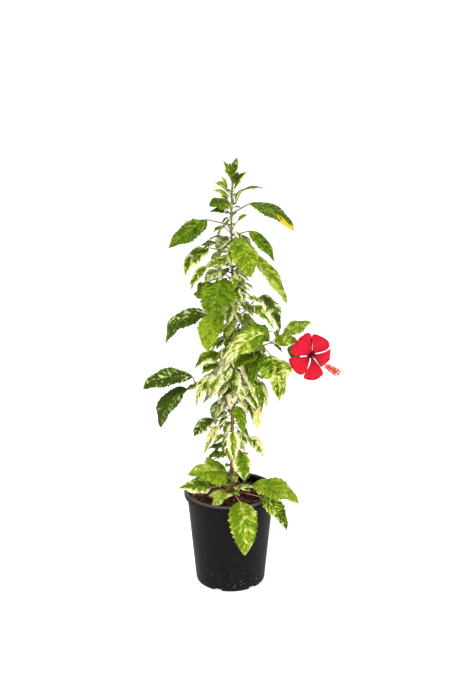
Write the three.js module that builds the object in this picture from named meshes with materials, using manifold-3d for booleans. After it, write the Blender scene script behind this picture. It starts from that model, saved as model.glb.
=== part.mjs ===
// A hibiscus shrub in its nursery pot: pot, potting mix, one upright stem with three side shoots,
// a single red bloom, the large leaves one by one, and the small leaves in tufts round the stem.
// Millimetres, +Z up. The origin is the centre of the pot's underside, and -Y is the bloom's side.
import * as THREE from 'three';
import { mergeVertices } from 'three/addons/utils/BufferGeometryUtils.js';
import Module from 'manifold-3d';

const wasm = await Module();
wasm.setup();

const { degToRad, lerp, mapLinear } = THREE.MathUtils;

// ---- driving dimensions ----

const GAP = 0.3; // clearance that touching pieces keep
const CRUMB = 0.05; // the finest detail that a cut leaves

const POT = {
  height: 208.5,
  rimRadius: 100.5,
  bodyTopRadius: 93.8,
  baseRadius: 75.2,
  wall: 1.8,
  floor: 2.4,
  lipDepth: 13,
  edge: 2.5, // rounding of the lip and of the bottom corner
  sides: 40,
};
const NOTCH = { count: 6, width: 17, height: 5.5, depth: 14, first: -111 };
const MIX = { belowRim: 18, edgeDrop: 3, crownRadius: 30 };
// Heights on the plant are counted from a datum this far below the pot's rim.
const RIM_ABOVE_DATUM = 203;

const STEM = {
  top: 894,
  sway: 3.2,
  swayPeriod: 520,
  swayStart: 390,
  offset: 5.8,
  depthSway: 2,
  tipRadius: 1,
  woodRadius: 3.2, // what the foot adds to the tip's radius
  taper: 0.6,
  flareRadius: 5.8,
  flareHeight: 17,
  sides: 8,
  step: 30,
  footRings: [0, 4, 10, 18], // how high above the foot the flare's rings lie
};
const SHOOT = { sides: 6, steps: 8 };

const STALK = { halfWidth: 1.4, halfThickness: 1.2 };
const BLADE = { halfThickness: 1.2, tipHalfWidth: 0.4, tipHalfThickness: 0.3, bend: 25, steps: 5 };
const PETAL = { length: 62, width: 48, fall: 12, bend: 48, count: 5, steps: 5 };
const CALYX = { length: 24, radius: 6.5, narrow: 0.5, depth: 4, steps: 4 };
// The column leaves along the bloom's axis, then turns to its own heading and pitch.
const COLUMN = { straight: 30, turned: 60, heading: -40, pitch: -15, radius: 3.4, steps: 5, sides: 6 };
const COLUMN_HEAD = { from: 0.5, radius: 5.5, tipRadius: 3 };

// ---- directions ----

const UP = new THREE.Vector3(0, 0, 1);

// The direction with this heading in plan (0 along +X, -90 towards the front) and this pitch.
function direction(heading, pitch) {
  const h = degToRad(heading);
  const p = degToRad(pitch);
  return new THREE.Vector3(Math.cos(h) * Math.cos(p), Math.sin(h) * Math.cos(p), Math.sin(p));
}

// ---- from three.js geometry to solids and back ----

function solidOf(geometry) {
  const bare = geometry.clone();
  bare.deleteAttribute('normal');
  bare.deleteAttribute('uv');
  const merged = mergeVertices(bare);
  const vertProperties = new Float32Array(merged.attributes.position.array);
  const triVerts = new Uint32Array(merged.index.array);
  return new wasm.Manifold(new wasm.Mesh({ numProp: 3, vertProperties, triVerts }));
}

function geometryOf(solid) {
  const { vertProperties, triVerts } = solid.getMesh();
  const indexed = new THREE.BufferGeometry();
  indexed.setAttribute('position', new THREE.BufferAttribute(new Float32Array(vertProperties), 3));
  indexed.setIndex(new THREE.BufferAttribute(new Uint32Array(triVerts), 1));
  const faceted = indexed.toNonIndexed();
  faceted.computeVertexNormals();
  return faceted;
}

// A cut can leave crumbs and slivers behind: the piece that counts is the largest.
function largestPiece(solid) {
  const pieces = solid.simplify(CRUMB).decompose();
  return pieces.reduce((best, piece) => (piece.volume() > best.volume() ? piece : best));
}

// A closed solid through rings of points, each ring turning anticlockwise about the way forward.
function loft(rings) {
  const around = rings[0].length;
  const index = [];
  for (let k = 0; k + 1 < rings.length; k++) {
    for (let i = 0; i < around; i++) {
      const a = k * around + i;
      const b = k * around + ((i + 1) % around);
      index.push(a, b, b + around, a, b + around, a + around);
    }
  }
  const last = (rings.length - 1) * around;
  for (let i = 1; i + 1 < around; i++) {
    index.push(0, i + 1, i);
    index.push(last, last + i, last + i + 1);
  }
  const geometry = new THREE.BufferGeometry().setFromPoints(rings.flat());
  geometry.setIndex(index);
  return solidOf(geometry);
}

// ---- pot and potting mix ----

function lathe(profile) {
  const points = profile.map(([radius, height]) => new THREE.Vector2(radius, height));
  const geometry = new THREE.LatheGeometry(points, POT.sides);
  geometry.rotateX(Math.PI / 2);
  return solidOf(geometry);
}

const lipBottom = POT.height - POT.lipDepth;

// The outside radius of the pot's tapering wall at a height.
function potRadius(height) {
  return mapLinear(height, 0, lipBottom, POT.baseRadius, POT.bodyTopRadius);
}

function makePot() {
  const { height, rimRadius, wall, floor, edge } = POT;
  const body = lathe([
    [0, 0],
    [potRadius(0) - edge, 0],
    [potRadius(edge), edge],
    [potRadius(lipBottom), lipBottom],
    [potRadius(lipBottom), height - 2 * wall],
    [rimRadius - wall, height - 2 * wall],
    [rimRadius - wall, lipBottom],
    [rimRadius, lipBottom],
    [rimRadius, height - edge],
    [rimRadius - edge, height],
    [potRadius(lipBottom) + wall - edge, height],
    [potRadius(lipBottom) - wall, height - edge],
    [potRadius(floor) - wall, floor],
    [0, floor],
  ]);
  const slot = new THREE.BoxGeometry(NOTCH.depth, NOTCH.width, 2 * NOTCH.height);
  let pot = body;
  for (let i = 0; i < NOTCH.count; i++) {
    const turn = NOTCH.first + (i * 360) / NOTCH.count;
    const cutter = slot.clone().translate(POT.baseRadius, 0, 0);
    cutter.rotateZ(degToRad(turn));
    pot = pot.subtract(solidOf(cutter));
  }
  return pot;
}

function makeMix() {
  const bottom = Math.max(POT.floor, NOTCH.height) + GAP;
  const wallTop = POT.height - POT.edge;
  const reach = (height) => {
    const outside = mapLinear(height, POT.floor, wallTop, potRadius(POT.floor), potRadius(lipBottom));
    return outside - POT.wall - GAP;
  };
  const crown = POT.height - MIX.belowRim;
  const shoulder = crown - MIX.edgeDrop;
  return lathe([
    [0, bottom],
    [reach(bottom), bottom],
    [reach(shoulder), shoulder],
    [MIX.crownRadius, crown],
    [0, crown],
  ]);
}

// ---- stem and side shoots ----

const stemFoot = RIM_ABOVE_DATUM - MIX.belowRim + GAP;

// The stem's centre line: upright, with a slow sway to either side.
function stemPoint(height) {
  const turn = (2 * Math.PI * (height - STEM.swayStart)) / STEM.swayPeriod;
  return new THREE.Vector3(
    STEM.offset + STEM.sway * Math.sin(turn),
    STEM.depthSway * Math.cos(turn),
    height,
  );
}

// The stem's true taper, widening into a flare where it meets the mix.
function stemRadius(height) {
  const climbed = (height - stemFoot) / (STEM.top - stemFoot);
  const wood = STEM.woodRadius * Math.pow(Math.max(1 - climbed, 0), STEM.taper);
  const flare = STEM.flareRadius * Math.exp(-(height - stemFoot) / STEM.flareHeight);
  return STEM.tipRadius + wood + flare;
}

// How far the first and last of a solid's rings move out when it is grown all round.
function endShift(k, steps, grow) {
  if (k === 0) return -grow;
  return k === steps ? grow : 0;
}

// One tapering limb along a curve, with flat ends.
function limb(curve, radiusAt, steps, grow = 0, sides = STEM.sides) {
  const frames = curve.computeFrenetFrames(steps, false);
  const rings = [];
  for (let k = 0; k <= steps; k++) {
    const centre = curve.getPointAt(k / steps);
    centre.addScaledVector(frames.tangents[k], endShift(k, steps, grow));
    const ring = [];
    for (let i = 0; i < sides; i++) {
      const angle = (2 * Math.PI * i) / sides;
      const spoke = new THREE.Vector3()
        .addScaledVector(frames.normals[k], Math.cos(angle))
        .addScaledVector(frames.binormals[k], Math.sin(angle));
      ring.push(centre.clone().addScaledVector(spoke, radiusAt(k / steps) + grow));
    }
    rings.push(ring);
  }
  return loft(rings);
}

function makeStem(grow) {
  const heights = STEM.footRings.map((rise) => stemFoot + rise);
  for (let height = stemFoot + STEM.step; height < STEM.top; height += STEM.step) heights.push(height);
  heights.push(STEM.top);
  const rings = heights.map((height, k) => {
    const centre = stemPoint(height).addScaledVector(UP, endShift(k, heights.length - 1, grow));
    const ring = [];
    for (let i = 0; i < STEM.sides; i++) {
      const spoke = direction((360 * i) / STEM.sides, 0);
      ring.push(centre.clone().addScaledVector(spoke, stemRadius(height) + grow));
    }
    return ring;
  });
  return loft(rings);
}

// Side shoots: where each leaves the stem, the points it grows through, and its radii.
const SHOOTS = {
  flower_branch: { from: 509, through: [[55, -12, 524], [85, -22, 537]], radii: [2.4, 1.7] },
  upper_shoot: { from: 584, through: [[31, -5, 600], [46, -8, 619], [72, -10, 636]], radii: [2.2, 1.3] },
  left_shoot: { from: 423, through: [[-32, -4, 434], [-72, -4, 437]], radii: [2.2, 1.5] },
};
// Twigs that go on from the flower branch: one to the bloom, one to the leaf above it.
const TWIGS = {
  flower_stalk: {
    through: [[83, -22, 536], [112, -20, 538], [140, -10, 526], [159, -3, 513.5]],
    radii: [1.6, 1.3],
  },
  leaf_twig: { through: [[82, -22, 536], [95, -22, 546], [109, -20, 555]], radii: [1.5, 1.1] },
};

function curveThrough(points) {
  return new THREE.CatmullRomCurve3(points.map((point) => new THREE.Vector3(...point)));
}

const curves = {};
for (const [name, shoot] of Object.entries(SHOOTS)) {
  curves[name] = curveThrough([stemPoint(shoot.from).toArray(), ...shoot.through]);
}
for (const [name, twig] of Object.entries(TWIGS)) curves[name] = curveThrough(twig.through);

function makeShoot(name, grow) {
  const { radii } = SHOOTS[name] ?? TWIGS[name];
  const radiusAt = (share) => lerp(radii[0], radii[1], share);
  return limb(curves[name], radiusAt, SHOOT.steps, grow, SHOOT.sides);
}

// ---- leaves ----

// An ovate outline: round near the stalk, widest a third of the way, drawn out to the tip.
function ovate(along) {
  return Math.sin(Math.PI * Math.pow(along, 0.62));
}

// A petal's outline: narrow at its claw, widest two thirds of the way, and blunt at the end.
function spatulate(along) {
  return Math.pow(Math.sin(Math.PI * Math.pow(along, 1.7)), 0.6);
}

// The points and widths along one leaf: a straight stalk, then a blade that bends down as it goes.
function leafStations(start, leaf) {
  const stations = [];
  const side = direction(leaf.heading + 90, 0);
  const stalkWay = direction(leaf.heading, leaf.lift);
  const stalkEnd = start.clone().addScaledVector(stalkWay, leaf.stalk);
  const slim = { halfWidth: STALK.halfWidth, halfThickness: STALK.halfThickness };
  if (leaf.stalk > 0) {
    stations.push({ centre: start.clone(), way: stalkWay, side, ...slim });
    const nearEnd = start.clone().addScaledVector(stalkWay, leaf.stalk * 0.9);
    stations.push({ centre: nearEnd, way: stalkWay, side, ...slim });
  }
  const heading = leaf.heading + leaf.turn;
  const axis = direction(heading, leaf.fall);
  const bladeSide = direction(heading + 90, 0);
  bladeSide.applyAxisAngle(axis, degToRad(leaf.roll));
  const centre = stalkEnd.clone();
  for (let k = 0; k <= leaf.steps; k++) {
    const along = k / leaf.steps;
    const pitch = leaf.fall + leaf.bend * (1 - 2 * along);
    const way = direction(heading, pitch);
    const last = k === leaf.steps;
    const outline = (leaf.outline ?? ovate)(along);
    const halfWidth = Math.max((leaf.width / 2) * outline, last ? BLADE.tipHalfWidth : STALK.halfWidth);
    const halfThickness = last ? BLADE.tipHalfThickness : BLADE.halfThickness;
    stations.push({ centre: centre.clone(), way, side: bladeSide, halfWidth, halfThickness });
    const nextPitch = leaf.fall + leaf.bend * (1 - 2 * (along + 0.5 / leaf.steps));
    centre.addScaledVector(direction(heading, nextPitch), leaf.length / leaf.steps);
  }
  return stations;
}

// The leaf as one thin closed pad, thickest along its midrib.
function leafSolid(start, leaf, grow) {
  const stations = leafStations(start, leaf);
  const rings = stations.map(({ centre, way, side, halfWidth, halfThickness }, k) => {
    const face = new THREE.Vector3().crossVectors(way, side).normalize();
    const across = new THREE.Vector3().crossVectors(face, way).normalize();
    centre.addScaledVector(way, endShift(k, stations.length - 1, grow));
    return [
      centre.clone().addScaledVector(across, halfWidth + grow),
      centre.clone().addScaledVector(face, halfThickness + grow),
      centre.clone().addScaledVector(across, -halfWidth - grow),
      centre.clone().addScaledVector(face, -halfThickness - grow),
    ];
  });
  return loft(rings);
}

// Each large leaf: what carries it and where (a height on the stem, or a share of a shoot's length),
// the stalk's heading, length and lift, how far the blade turns from it, the blade's length, mean
// fall and width, its roll about its midrib, and its bend where that isn't the common one.
const LEAVES = {
  leaf_crown_1: ['stem', 835, 20, 15, 20, -10, 54, 11, 24, 0],
  leaf_crown_2: ['stem', 815, -40, 14, 30, 10, 36, 62, 18, 0],
  leaf_crown_3: ['stem', 801, -108, 22, 54, -53, 43, 1, 34, -30],
  leaf_crown_4: ['stem', 799, -18, 45, 28, 3, 107, -29, 46, 22],
  leaf_crown_5: ['stem', 775, -161, 50, 16, -8, 95, -34, 54, -38, 5],
  leaf_shoulder_1: ['stem', 755, -36, 45, 17, 14, 79, -46, 40, 25, 15],
  leaf_shoulder_2: ['stem', 747, -71, 38, 15, 9, 88, -53, 54, 0],
  leaf_shoulder_3: ['stem', 728, 0, 36, 0, -8, 128, -53, 46, 30, 12],
  leaf_shoulder_4: ['stem', 722, 174, 48, 11, 18, 76, -48, 44, -30],
  leaf_shoulder_5: ['stem', 689, -121, 28, 35, -28, 51, -9, 30, -30],
  leaf_shoulder_6: ['stem', 677, -158, 57, 23, -6, 61, -52, 32, -20],
  leaf_middle_1: ['stem', 662, -121, 53, 33, -25, 45, -24, 28, -30],
  leaf_middle_2: ['stem', 650, 167, 65, 8, 49, 55, -78, 38, 0],
  leaf_middle_3: ['stem', 652, -117, 55, 24, 6, 86, -58, 70, 0],
  leaf_middle_4: ['stem', 584, -144, 54, 21, 32, 82, -66, 48, 0],
  leaf_middle_5: ['stem', 576, -172, 58, 13, -3, 114, -33, 54, -30, 48],
  leaf_shoot_1: ['upper_shoot', 0.84, -5, 9, 30, -10, 86, -60, 42, 20],
  leaf_shoot_2: ['upper_shoot', 0.35, -53, 31, 30, 27, 66, -45, 34, 20],
  leaf_branch_1: ['leaf_twig', 1, 6, 8, 25, 5, 64, 22, 38, 15, 8],
  leaf_branch_2: ['flower_stalk', 0.62, 80, 9, -10, 0, 44, -78, 34, 0],
  leaf_branch_3: ['flower_branch', 0.97, -123, 31, 54, -26, 112, -27, 50, -20],
  leaf_branch_4: ['flower_branch', 0.6, -103, 21, -8, -42, 63, -31, 38, -15],
  leaf_branch_5: ['flower_branch', 0.68, -91, 14, -20, -27, 75, -57, 38, 0],
  leaf_branch_6: ['flower_branch', 0.76, -40, 28, -38, -22, 96, -67, 60, 0],
  leaf_heart_1: ['stem', 498, -160, 37, 19, -5, 59, -28, 40, -25],
  leaf_heart_2: ['stem', 476, -41, 61, -3, -21, 76, -63, 36, 0],
  leaf_heart_3: ['stem', 450, -156, 55, 25, 18, 82, -56, 38, 0],
  leaf_heart_4: ['stem', 436, -125, 60, 36, -1, 52, -52, 38, 0],
  leaf_left_1: ['left_shoot', 1, -136, 25, 55, -37, 109, -10, 54, -25],
  leaf_left_2: ['left_shoot', 0.93, -155, 30, -3, -11, 104, -54, 54, -25, 42],
  leaf_waist_1: ['stem', 405, -30, 25, 9, 9, 58, -66, 26, 0],
  leaf_waist_2: ['stem', 383, -78, 41, 30, 14, 65, -58, 28, 0],
  leaf_waist_3: ['stem', 352, -165, 40, 16, -2, 56, -35, 34, -25],
  leaf_waist_4: ['stem', 338, -138, 43, 28, -4, 72, -55, 34, 0, 12],
  leaf_waist_5: ['stem', 333, -89, 38, 23, 7, 65, -66, 30, 0],
  leaf_waist_6: ['stem', 322, -15, 40, 9, -9, 59, -49, 32, 30],
  leaf_waist_7: ['stem', 281, -68, 43, 29, -4, 61, -64, 32, 0],
  leaf_foot_1: ['stem', 237, -113, 27, 28, -41, 94, 8, 66, -30, 15],
  leaf_foot_2: ['stem', 212, -139, 59, 10, -20, 74, 8, 46, -20, 12],
  leaf_foot_3: ['stem', 205, -106, 53, 15, -26, 48, -30, 44, 0],
  leaf_foot_4: ['stem', 205, -34, 55, 18, 14, 112, -12, 62, 22, 30],
  leaf_foot_5: ['stem', 200, -47, 92, 8, 12, 92, -42, 46, 8, 36],
  leaf_foot_6: ['stem', 198, -79, 89, 8, -2, 121, -56, 62, 0, 50],
};

function largeLeaf([carrier, at, heading, stalk, lift, turn, length, fall, width, roll, bend = BLADE.bend]) {
  const start = carrier === 'stem' ? stemPoint(at) : curves[carrier].getPointAt(at);
  return { start, leaf: { heading, stalk, lift, turn, length, fall, width, roll, bend, steps: BLADE.steps } };
}

// ---- tufts: the small leaves that crowd round the stem, each tuft one closed mass ----

const GOLDEN = 137.5;
// Each tuft: its lowest and highest leaf, how many leaves, the first one's heading, the stalk's and
// blade's length at the back, the mean fall of the blades, and how large the front leaves are beside
// those at the back.
const TUFTS = {
  tuft_tip: [838, 888, 9, 20, 7, 35, 52, 0.9],
  tuft_crown: [770, 828, 6, 100, 26, 62, 5, 0.5],
  tuft_shoulder: [672, 758, 6, 60, 40, 84, -25, 0.6],
  tuft_middle: [592, 662, 6, -30, 42, 88, -35, 0.8],
  tuft_branch: [520, 578, 6, -20, 40, 84, -35, 0.75],
  tuft_heart: [410, 505, 6, -60, 42, 82, -40, 0.75],
  tuft_waist: [292, 392, 6, 95, 38, 76, -35, 0.6],
  tuft_foot: [214, 270, 6, 70, 36, 72, -8, 0.55],
};
const TUFT_CORE = { reach: 4, ends: 0.3, overhang: 3, steps: 3, sides: 6 };
const TUFT_LEAF = { widthShare: 0.5, sizeWave: 0.18, waveStep: 5, lift: 25, steps: 3 };

function makeTuft([low, high, count, first, stalk, length, fall, frontShare], grow) {
  const middle = (low + high) / 2;
  const ends = [low - TUFT_CORE.overhang - grow, middle, high + TUFT_CORE.overhang + grow];
  const spine = ends.map((height) => stemPoint(height).toArray());
  const coreRadius = (share) => {
    const swell = lerp(TUFT_CORE.ends, 1, Math.sin(Math.PI * share));
    return stemRadius(lerp(low, high, share)) + TUFT_CORE.reach * swell;
  };
  let tuft = limb(curveThrough(spine), coreRadius, TUFT_CORE.steps, grow, TUFT_CORE.sides);
  for (let i = 0; i < count; i++) {
    const heading = first + i * GOLDEN;
    const behind = (1 + Math.sin(degToRad(heading))) / 2;
    const wave = 1 + TUFT_LEAF.sizeWave * Math.sin(TUFT_LEAF.waveStep * i + low);
    const size = wave * lerp(frontShare, 1, behind);
    const leaf = {
      heading,
      stalk: stalk * size,
      lift: TUFT_LEAF.lift,
      turn: 0,
      length: length * size,
      fall,
      width: length * size * TUFT_LEAF.widthShare,
      roll: 0,
      bend: BLADE.bend,
      steps: TUFT_LEAF.steps,
    };
    const height = lerp(low, high, (i + 0.5) / count);
    tuft = tuft.add(leafSolid(stemPoint(height), leaf, grow));
  }
  return tuft;
}

// ---- bloom ----

const BLOOM = { centre: [167, -26, 511], heading: -72, pitch: -5, firstPetal: 4 };

// Five petals, the green calyx behind them and the long column, joined as one closed piece.
function makeBloom(grow) {
  const axis = direction(BLOOM.heading, BLOOM.pitch);
  const turned = new THREE.Quaternion().setFromUnitVectors(UP, axis);
  const centre = new THREE.Vector3(...BLOOM.centre);
  const place = (solid) => {
    const geometry = geometryOf(solid);
    return solidOf(geometry.applyQuaternion(turned).translate(...centre.toArray()));
  };
  const cup = curveThrough([[0, 0, -CALYX.length], [0, 0, -CALYX.length / 2], [0, 0, CALYX.depth]]);
  const cupRadius = (share) => CALYX.radius * lerp(CALYX.narrow, 1, Math.sin(Math.PI * share));
  let bloom = place(limb(cup, cupRadius, CALYX.steps, grow));
  for (let i = 0; i < PETAL.count; i++) {
    const petal = {
      heading: BLOOM.firstPetal + (i * 360) / PETAL.count,
      stalk: 0,
      lift: 0,
      turn: 0,
      length: PETAL.length,
      fall: PETAL.fall,
      width: PETAL.width,
      roll: 0,
      bend: PETAL.bend,
      steps: PETAL.steps,
      outline: spatulate,
    };
    bloom = bloom.add(place(leafSolid(new THREE.Vector3(0, 0, -CALYX.depth), petal, grow)));
  }
  const knee = centre.clone().addScaledVector(axis, COLUMN.straight);
  const tip = knee.clone().addScaledVector(direction(COLUMN.heading, COLUMN.pitch), COLUMN.turned);
  const column = new THREE.CatmullRomCurve3([centre, knee, tip]);
  const radiusAt = (share) => {
    if (share < COLUMN_HEAD.from) return COLUMN.radius;
    return mapLinear(share, COLUMN_HEAD.from, 1, COLUMN_HEAD.radius, COLUMN_HEAD.tipRadius);
  };
  return bloom.add(limb(column, radiusAt, COLUMN.steps, grow, COLUMN.sides));
}

// ---- the whole plant ----

const group = new THREE.Group();
const plant = new THREE.Group(); // all that grows, at its height above the table
plant.position.z = POT.height - RIM_ABOVE_DATUM;
group.add(plant);
const taken = []; // what later pieces are cut round, each grown by the gap

function addPiece(name, solid, look, parent = plant) {
  const material = new THREE.MeshStandardMaterial({ metalness: 0, ...look });
  const mesh = new THREE.Mesh(geometryOf(solid), material);
  mesh.name = name;
  parent.add(mesh);
}

// Each cut is finished and its flat faces joined before the next, so that slivers don't build up.
// The second pass clears what the first one's crumbs had hidden.
function cutRound(solid) {
  const reach = solid.boundingBox();
  const near = taken.filter((other) => boxesMeet(reach, other.boundingBox()));
  const cut = (whole) => largestPiece(near.reduce((rest, other) => rest.subtract(other).asOriginal(), whole));
  return cut(cut(solid));
}

function boxesMeet(a, b) {
  return [0, 1, 2].every((i) => a.min[i] <= b.max[i] && b.min[i] <= a.max[i]);
}

const PLASTIC = { color: 0x242424, roughness: 0.55 };
const SOIL = { color: 0x4a2c1e, roughness: 1 };
const BARK = { color: 0x8a6a48, roughness: 0.85 };
const GREEN_WOOD = { color: 0x8f8a3e, roughness: 0.7 };
const LEAF = { color: 0x5a8c14, roughness: 0.5 };
const YOUNG_LEAF = { color: 0x96b428, roughness: 0.5 };
const RED = { color: 0xff1e3c, roughness: 0.6 };

addPiece('pot', makePot(), PLASTIC, group);
addPiece('soil', makeMix(), SOIL, group);

addPiece('stem', makeStem(0), BARK);
taken.push(makeStem(GAP));

for (const name of [...Object.keys(SHOOTS), ...Object.keys(TWIGS)]) {
  addPiece(name, cutRound(makeShoot(name, 0)), GREEN_WOOD);
  taken.push(makeShoot(name, GAP));
}

addPiece('bloom', cutRound(makeBloom(0)), RED);
taken.push(makeBloom(GAP));

for (const [name, row] of Object.entries(LEAVES)) {
  const { start, leaf } = largeLeaf(row);
  addPiece(name, cutRound(leafSolid(start, leaf, 0)), LEAF);
  taken.push(leafSolid(start, leaf, GAP));
}

for (const [name, row] of Object.entries(TUFTS)) {
  addPiece(name, cutRound(makeTuft(row, 0)), YOUNG_LEAF);
  taken.push(makeTuft(row, GAP));
}

export default group;
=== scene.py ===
"""A variegated hibiscus shrub with one red bloom, in its black nursery pot. Metres, +Z up.

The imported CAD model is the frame: limbs follow its limbs, each large leaf follows its own pad, and
the small leaves grow from the stem out to the tips of the leafy masses.
"""

import math
import random

import bpy
import numpy as np
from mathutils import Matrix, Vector


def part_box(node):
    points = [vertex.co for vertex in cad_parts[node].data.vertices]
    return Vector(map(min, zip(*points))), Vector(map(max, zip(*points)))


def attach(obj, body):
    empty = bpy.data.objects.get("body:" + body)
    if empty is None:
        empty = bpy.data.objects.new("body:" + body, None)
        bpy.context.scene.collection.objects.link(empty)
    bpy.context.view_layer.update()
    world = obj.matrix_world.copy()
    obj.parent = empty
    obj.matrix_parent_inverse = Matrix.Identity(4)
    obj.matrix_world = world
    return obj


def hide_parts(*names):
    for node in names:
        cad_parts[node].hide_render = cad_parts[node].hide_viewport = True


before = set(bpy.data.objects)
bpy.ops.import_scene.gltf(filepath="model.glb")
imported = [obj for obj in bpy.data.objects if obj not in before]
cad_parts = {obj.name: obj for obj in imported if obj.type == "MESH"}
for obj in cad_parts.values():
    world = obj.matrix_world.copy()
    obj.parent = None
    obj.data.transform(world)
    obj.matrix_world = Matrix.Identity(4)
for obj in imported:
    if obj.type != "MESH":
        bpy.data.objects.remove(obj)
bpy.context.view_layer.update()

MM = 0.001
UP = np.array([0.0, 0.0, 1.0])
PHASE = 6.3  # radians, about a whole turn

# ---- camera ----

CAMERA = {"place": (6.8, -2000, 1075.5), "pitch": 15.5, "lens": 51.1, "film": 36}  # millimetres, degrees


def make_camera():
    """The camera, level from side to side and pitched down a little."""
    data = bpy.data.cameras.new("camera")
    data.lens = CAMERA["lens"]
    data.sensor_width = CAMERA["film"]
    camera = bpy.data.objects.new("camera", data)
    bpy.context.scene.collection.objects.link(camera)
    camera.location = Vector(CAMERA["place"]) * MM
    camera.rotation_euler = (math.radians(90 - CAMERA["pitch"]), 0, 0)
    bpy.context.scene.camera = camera


# ---- materials ----


def linear(colour):
    """An sRGB hex colour as linear red, green, blue and alpha."""
    parts = [int(colour[i : i + 2], 16) / 255 for i in (1, 3, 5)]
    return [c / 12.92 if c <= 0.04045 else ((c + 0.055) / 1.055) ** 2.4 for c in parts] + [1.0]


def set_stops(ramp, stops):
    """Gives a colour ramp its stops: a place and a colour for each."""
    while len(ramp.elements) < len(stops):
        ramp.elements.new(0.5)
    for step, (place, colour) in zip(ramp.elements, stops, strict=True):
        step.position = place
        step.color = linear(colour)


def add(tree, kind, settings=None, links=None, out=None):
    """One node, or the output of it that is asked for.

    Settings go to its ramp, its own properties or its inputs, and links to its inputs.
    """
    node = tree.nodes.new(kind)
    for key, value in (settings or {}).items():
        if key == "stops":
            set_stops(node.color_ramp, value)
        elif isinstance(key, str) and hasattr(node, key):
            setattr(node, key, value)
        else:
            node.inputs[key].default_value = value
    for key, source in (links or {}).items():
        tree.links.new(source, node.inputs[key])
    return node if out is None else node.outputs[out]


def start_material(name, **shader):
    """A material with its Principled shader, whose constants sit on the shader's own sockets."""
    material = bpy.data.materials.new(name)
    material.use_nodes = True
    tree = material.node_tree
    principled = tree.nodes["Principled BSDF"]
    for key, value in shader.items():
        principled.inputs[key.replace("_", " ")].default_value = value
    return material, tree, principled


# Leaf cells, the down of stalks and the grain of flower tissue are far finer than a millimetre.
# They are drawn at about a millimetre, so that they show.
CELLS = ("ShaderNodeTexVoronoi", {}, "Distance")
GRAIN = ("ShaderNodeTexNoise", {}, "Fac")
TORN_GRAIN = ("ShaderNodeTexNoise", {"Detail": 4.0}, "Fac")


def plain_material(name, colour, pattern, size, depth, strength, **shader):
    """One colour all over, with the relief of one pattern: its grain size and depth in millimetres."""
    material, tree, skin = start_material(name, Base_Color=linear(colour), **shader)
    kind, settings, height = pattern
    place = add(tree, "ShaderNodeTexCoord", out="Object")
    raised = add(tree, kind, {"Scale": 1 / (size * MM), **settings}, {"Vector": place}, height)
    bump = {"Distance": depth * MM, "Strength": strength}
    tree.links.new(add(tree, "ShaderNodeBump", bump, {"Height": raised}, "Normal"), skin.inputs["Normal"])
    return material


# Each tone of a leaf: its upper face and its paler, greyer underside.
TONES = {
    "deep": ("#344709", "#52652a"),
    "dark": ("#486009", "#647a32"),
    "mid": ("#617d0d", "#788e3e"),
    "fresh": ("#80991a", "#909f4a"),
    "bright": ("#a6b33a", "#adb85e"),
    "grey": ("#929e64", "#9da97a"),
    "pale": ("#d0d08a", "#cbcd96"),
    "cream": ("#ece6b8", "#e0dab6"),
    "blush": ("#e8d2ac", "#ddceb0"),
    "yellow": ("#d2bc30", "#cec262"),
}
TONE_NAMES = list(TONES)


def leaf_material(name, colour, roughness):
    """Living leaf: a waxy skin that shines a little, over cells that make it finely pebbled."""
    shader = {"Roughness": roughness, "IOR": 1.42, "Specular_IOR_Level": 0.1}
    return plain_material(name, colour, CELLS, size=1.6, depth=0.15, strength=0.35, **shader)


def leaf_materials():
    """The upper tones in order, then the undersides in the same order."""
    tops = [leaf_material(f"leaf_blade_{name}", top, 0.42) for name, (top, _) in TONES.items()]
    backs = [leaf_material(f"leaf_underside_{name}", back, 0.6) for name, (_, back) in TONES.items()]
    return tops + backs


def stalk_material(name, colour):
    """Young green wood and leaf stalks: smooth, faintly downy skin."""
    shader = {"Roughness": 0.55, "Sheen_Weight": 0.15}
    return plain_material(name, colour, GRAIN, size=1.2, depth=0.2, strength=0.4, **shader)


def chip_material(name, colour):
    """Composted bark: rough torn fibre, moist and dull."""
    return plain_material(name, colour, TORN_GRAIN, size=0.9, depth=0.5, strength=0.8, Roughness=0.85)


def flower_part_material(name, colour, roughness=0.5):
    """Stamens, stigmas and calyx: soft living tissue with a fine grain."""
    shader = {"Roughness": roughness, "Sheen_Weight": 0.05}
    return plain_material(name, colour, GRAIN, size=0.8, depth=0.2, strength=0.4, **shader)


BARK_STOPS = [  # from the foot of the stem to its tip
    (0.0, "#b8ac70"),
    (0.05, "#ae9a58"),
    (0.25, "#a68a4c"),
    (0.5, "#98823e"),
    (0.7, "#8e8038"),
    (0.85, "#908e38"),
    (1.0, "#98a63e"),
]
BARK_STREAKS = [(0.32, "#4e3a20"), (0.5, "#a89a70"), (0.68, "#e2d8b0")]


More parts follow.
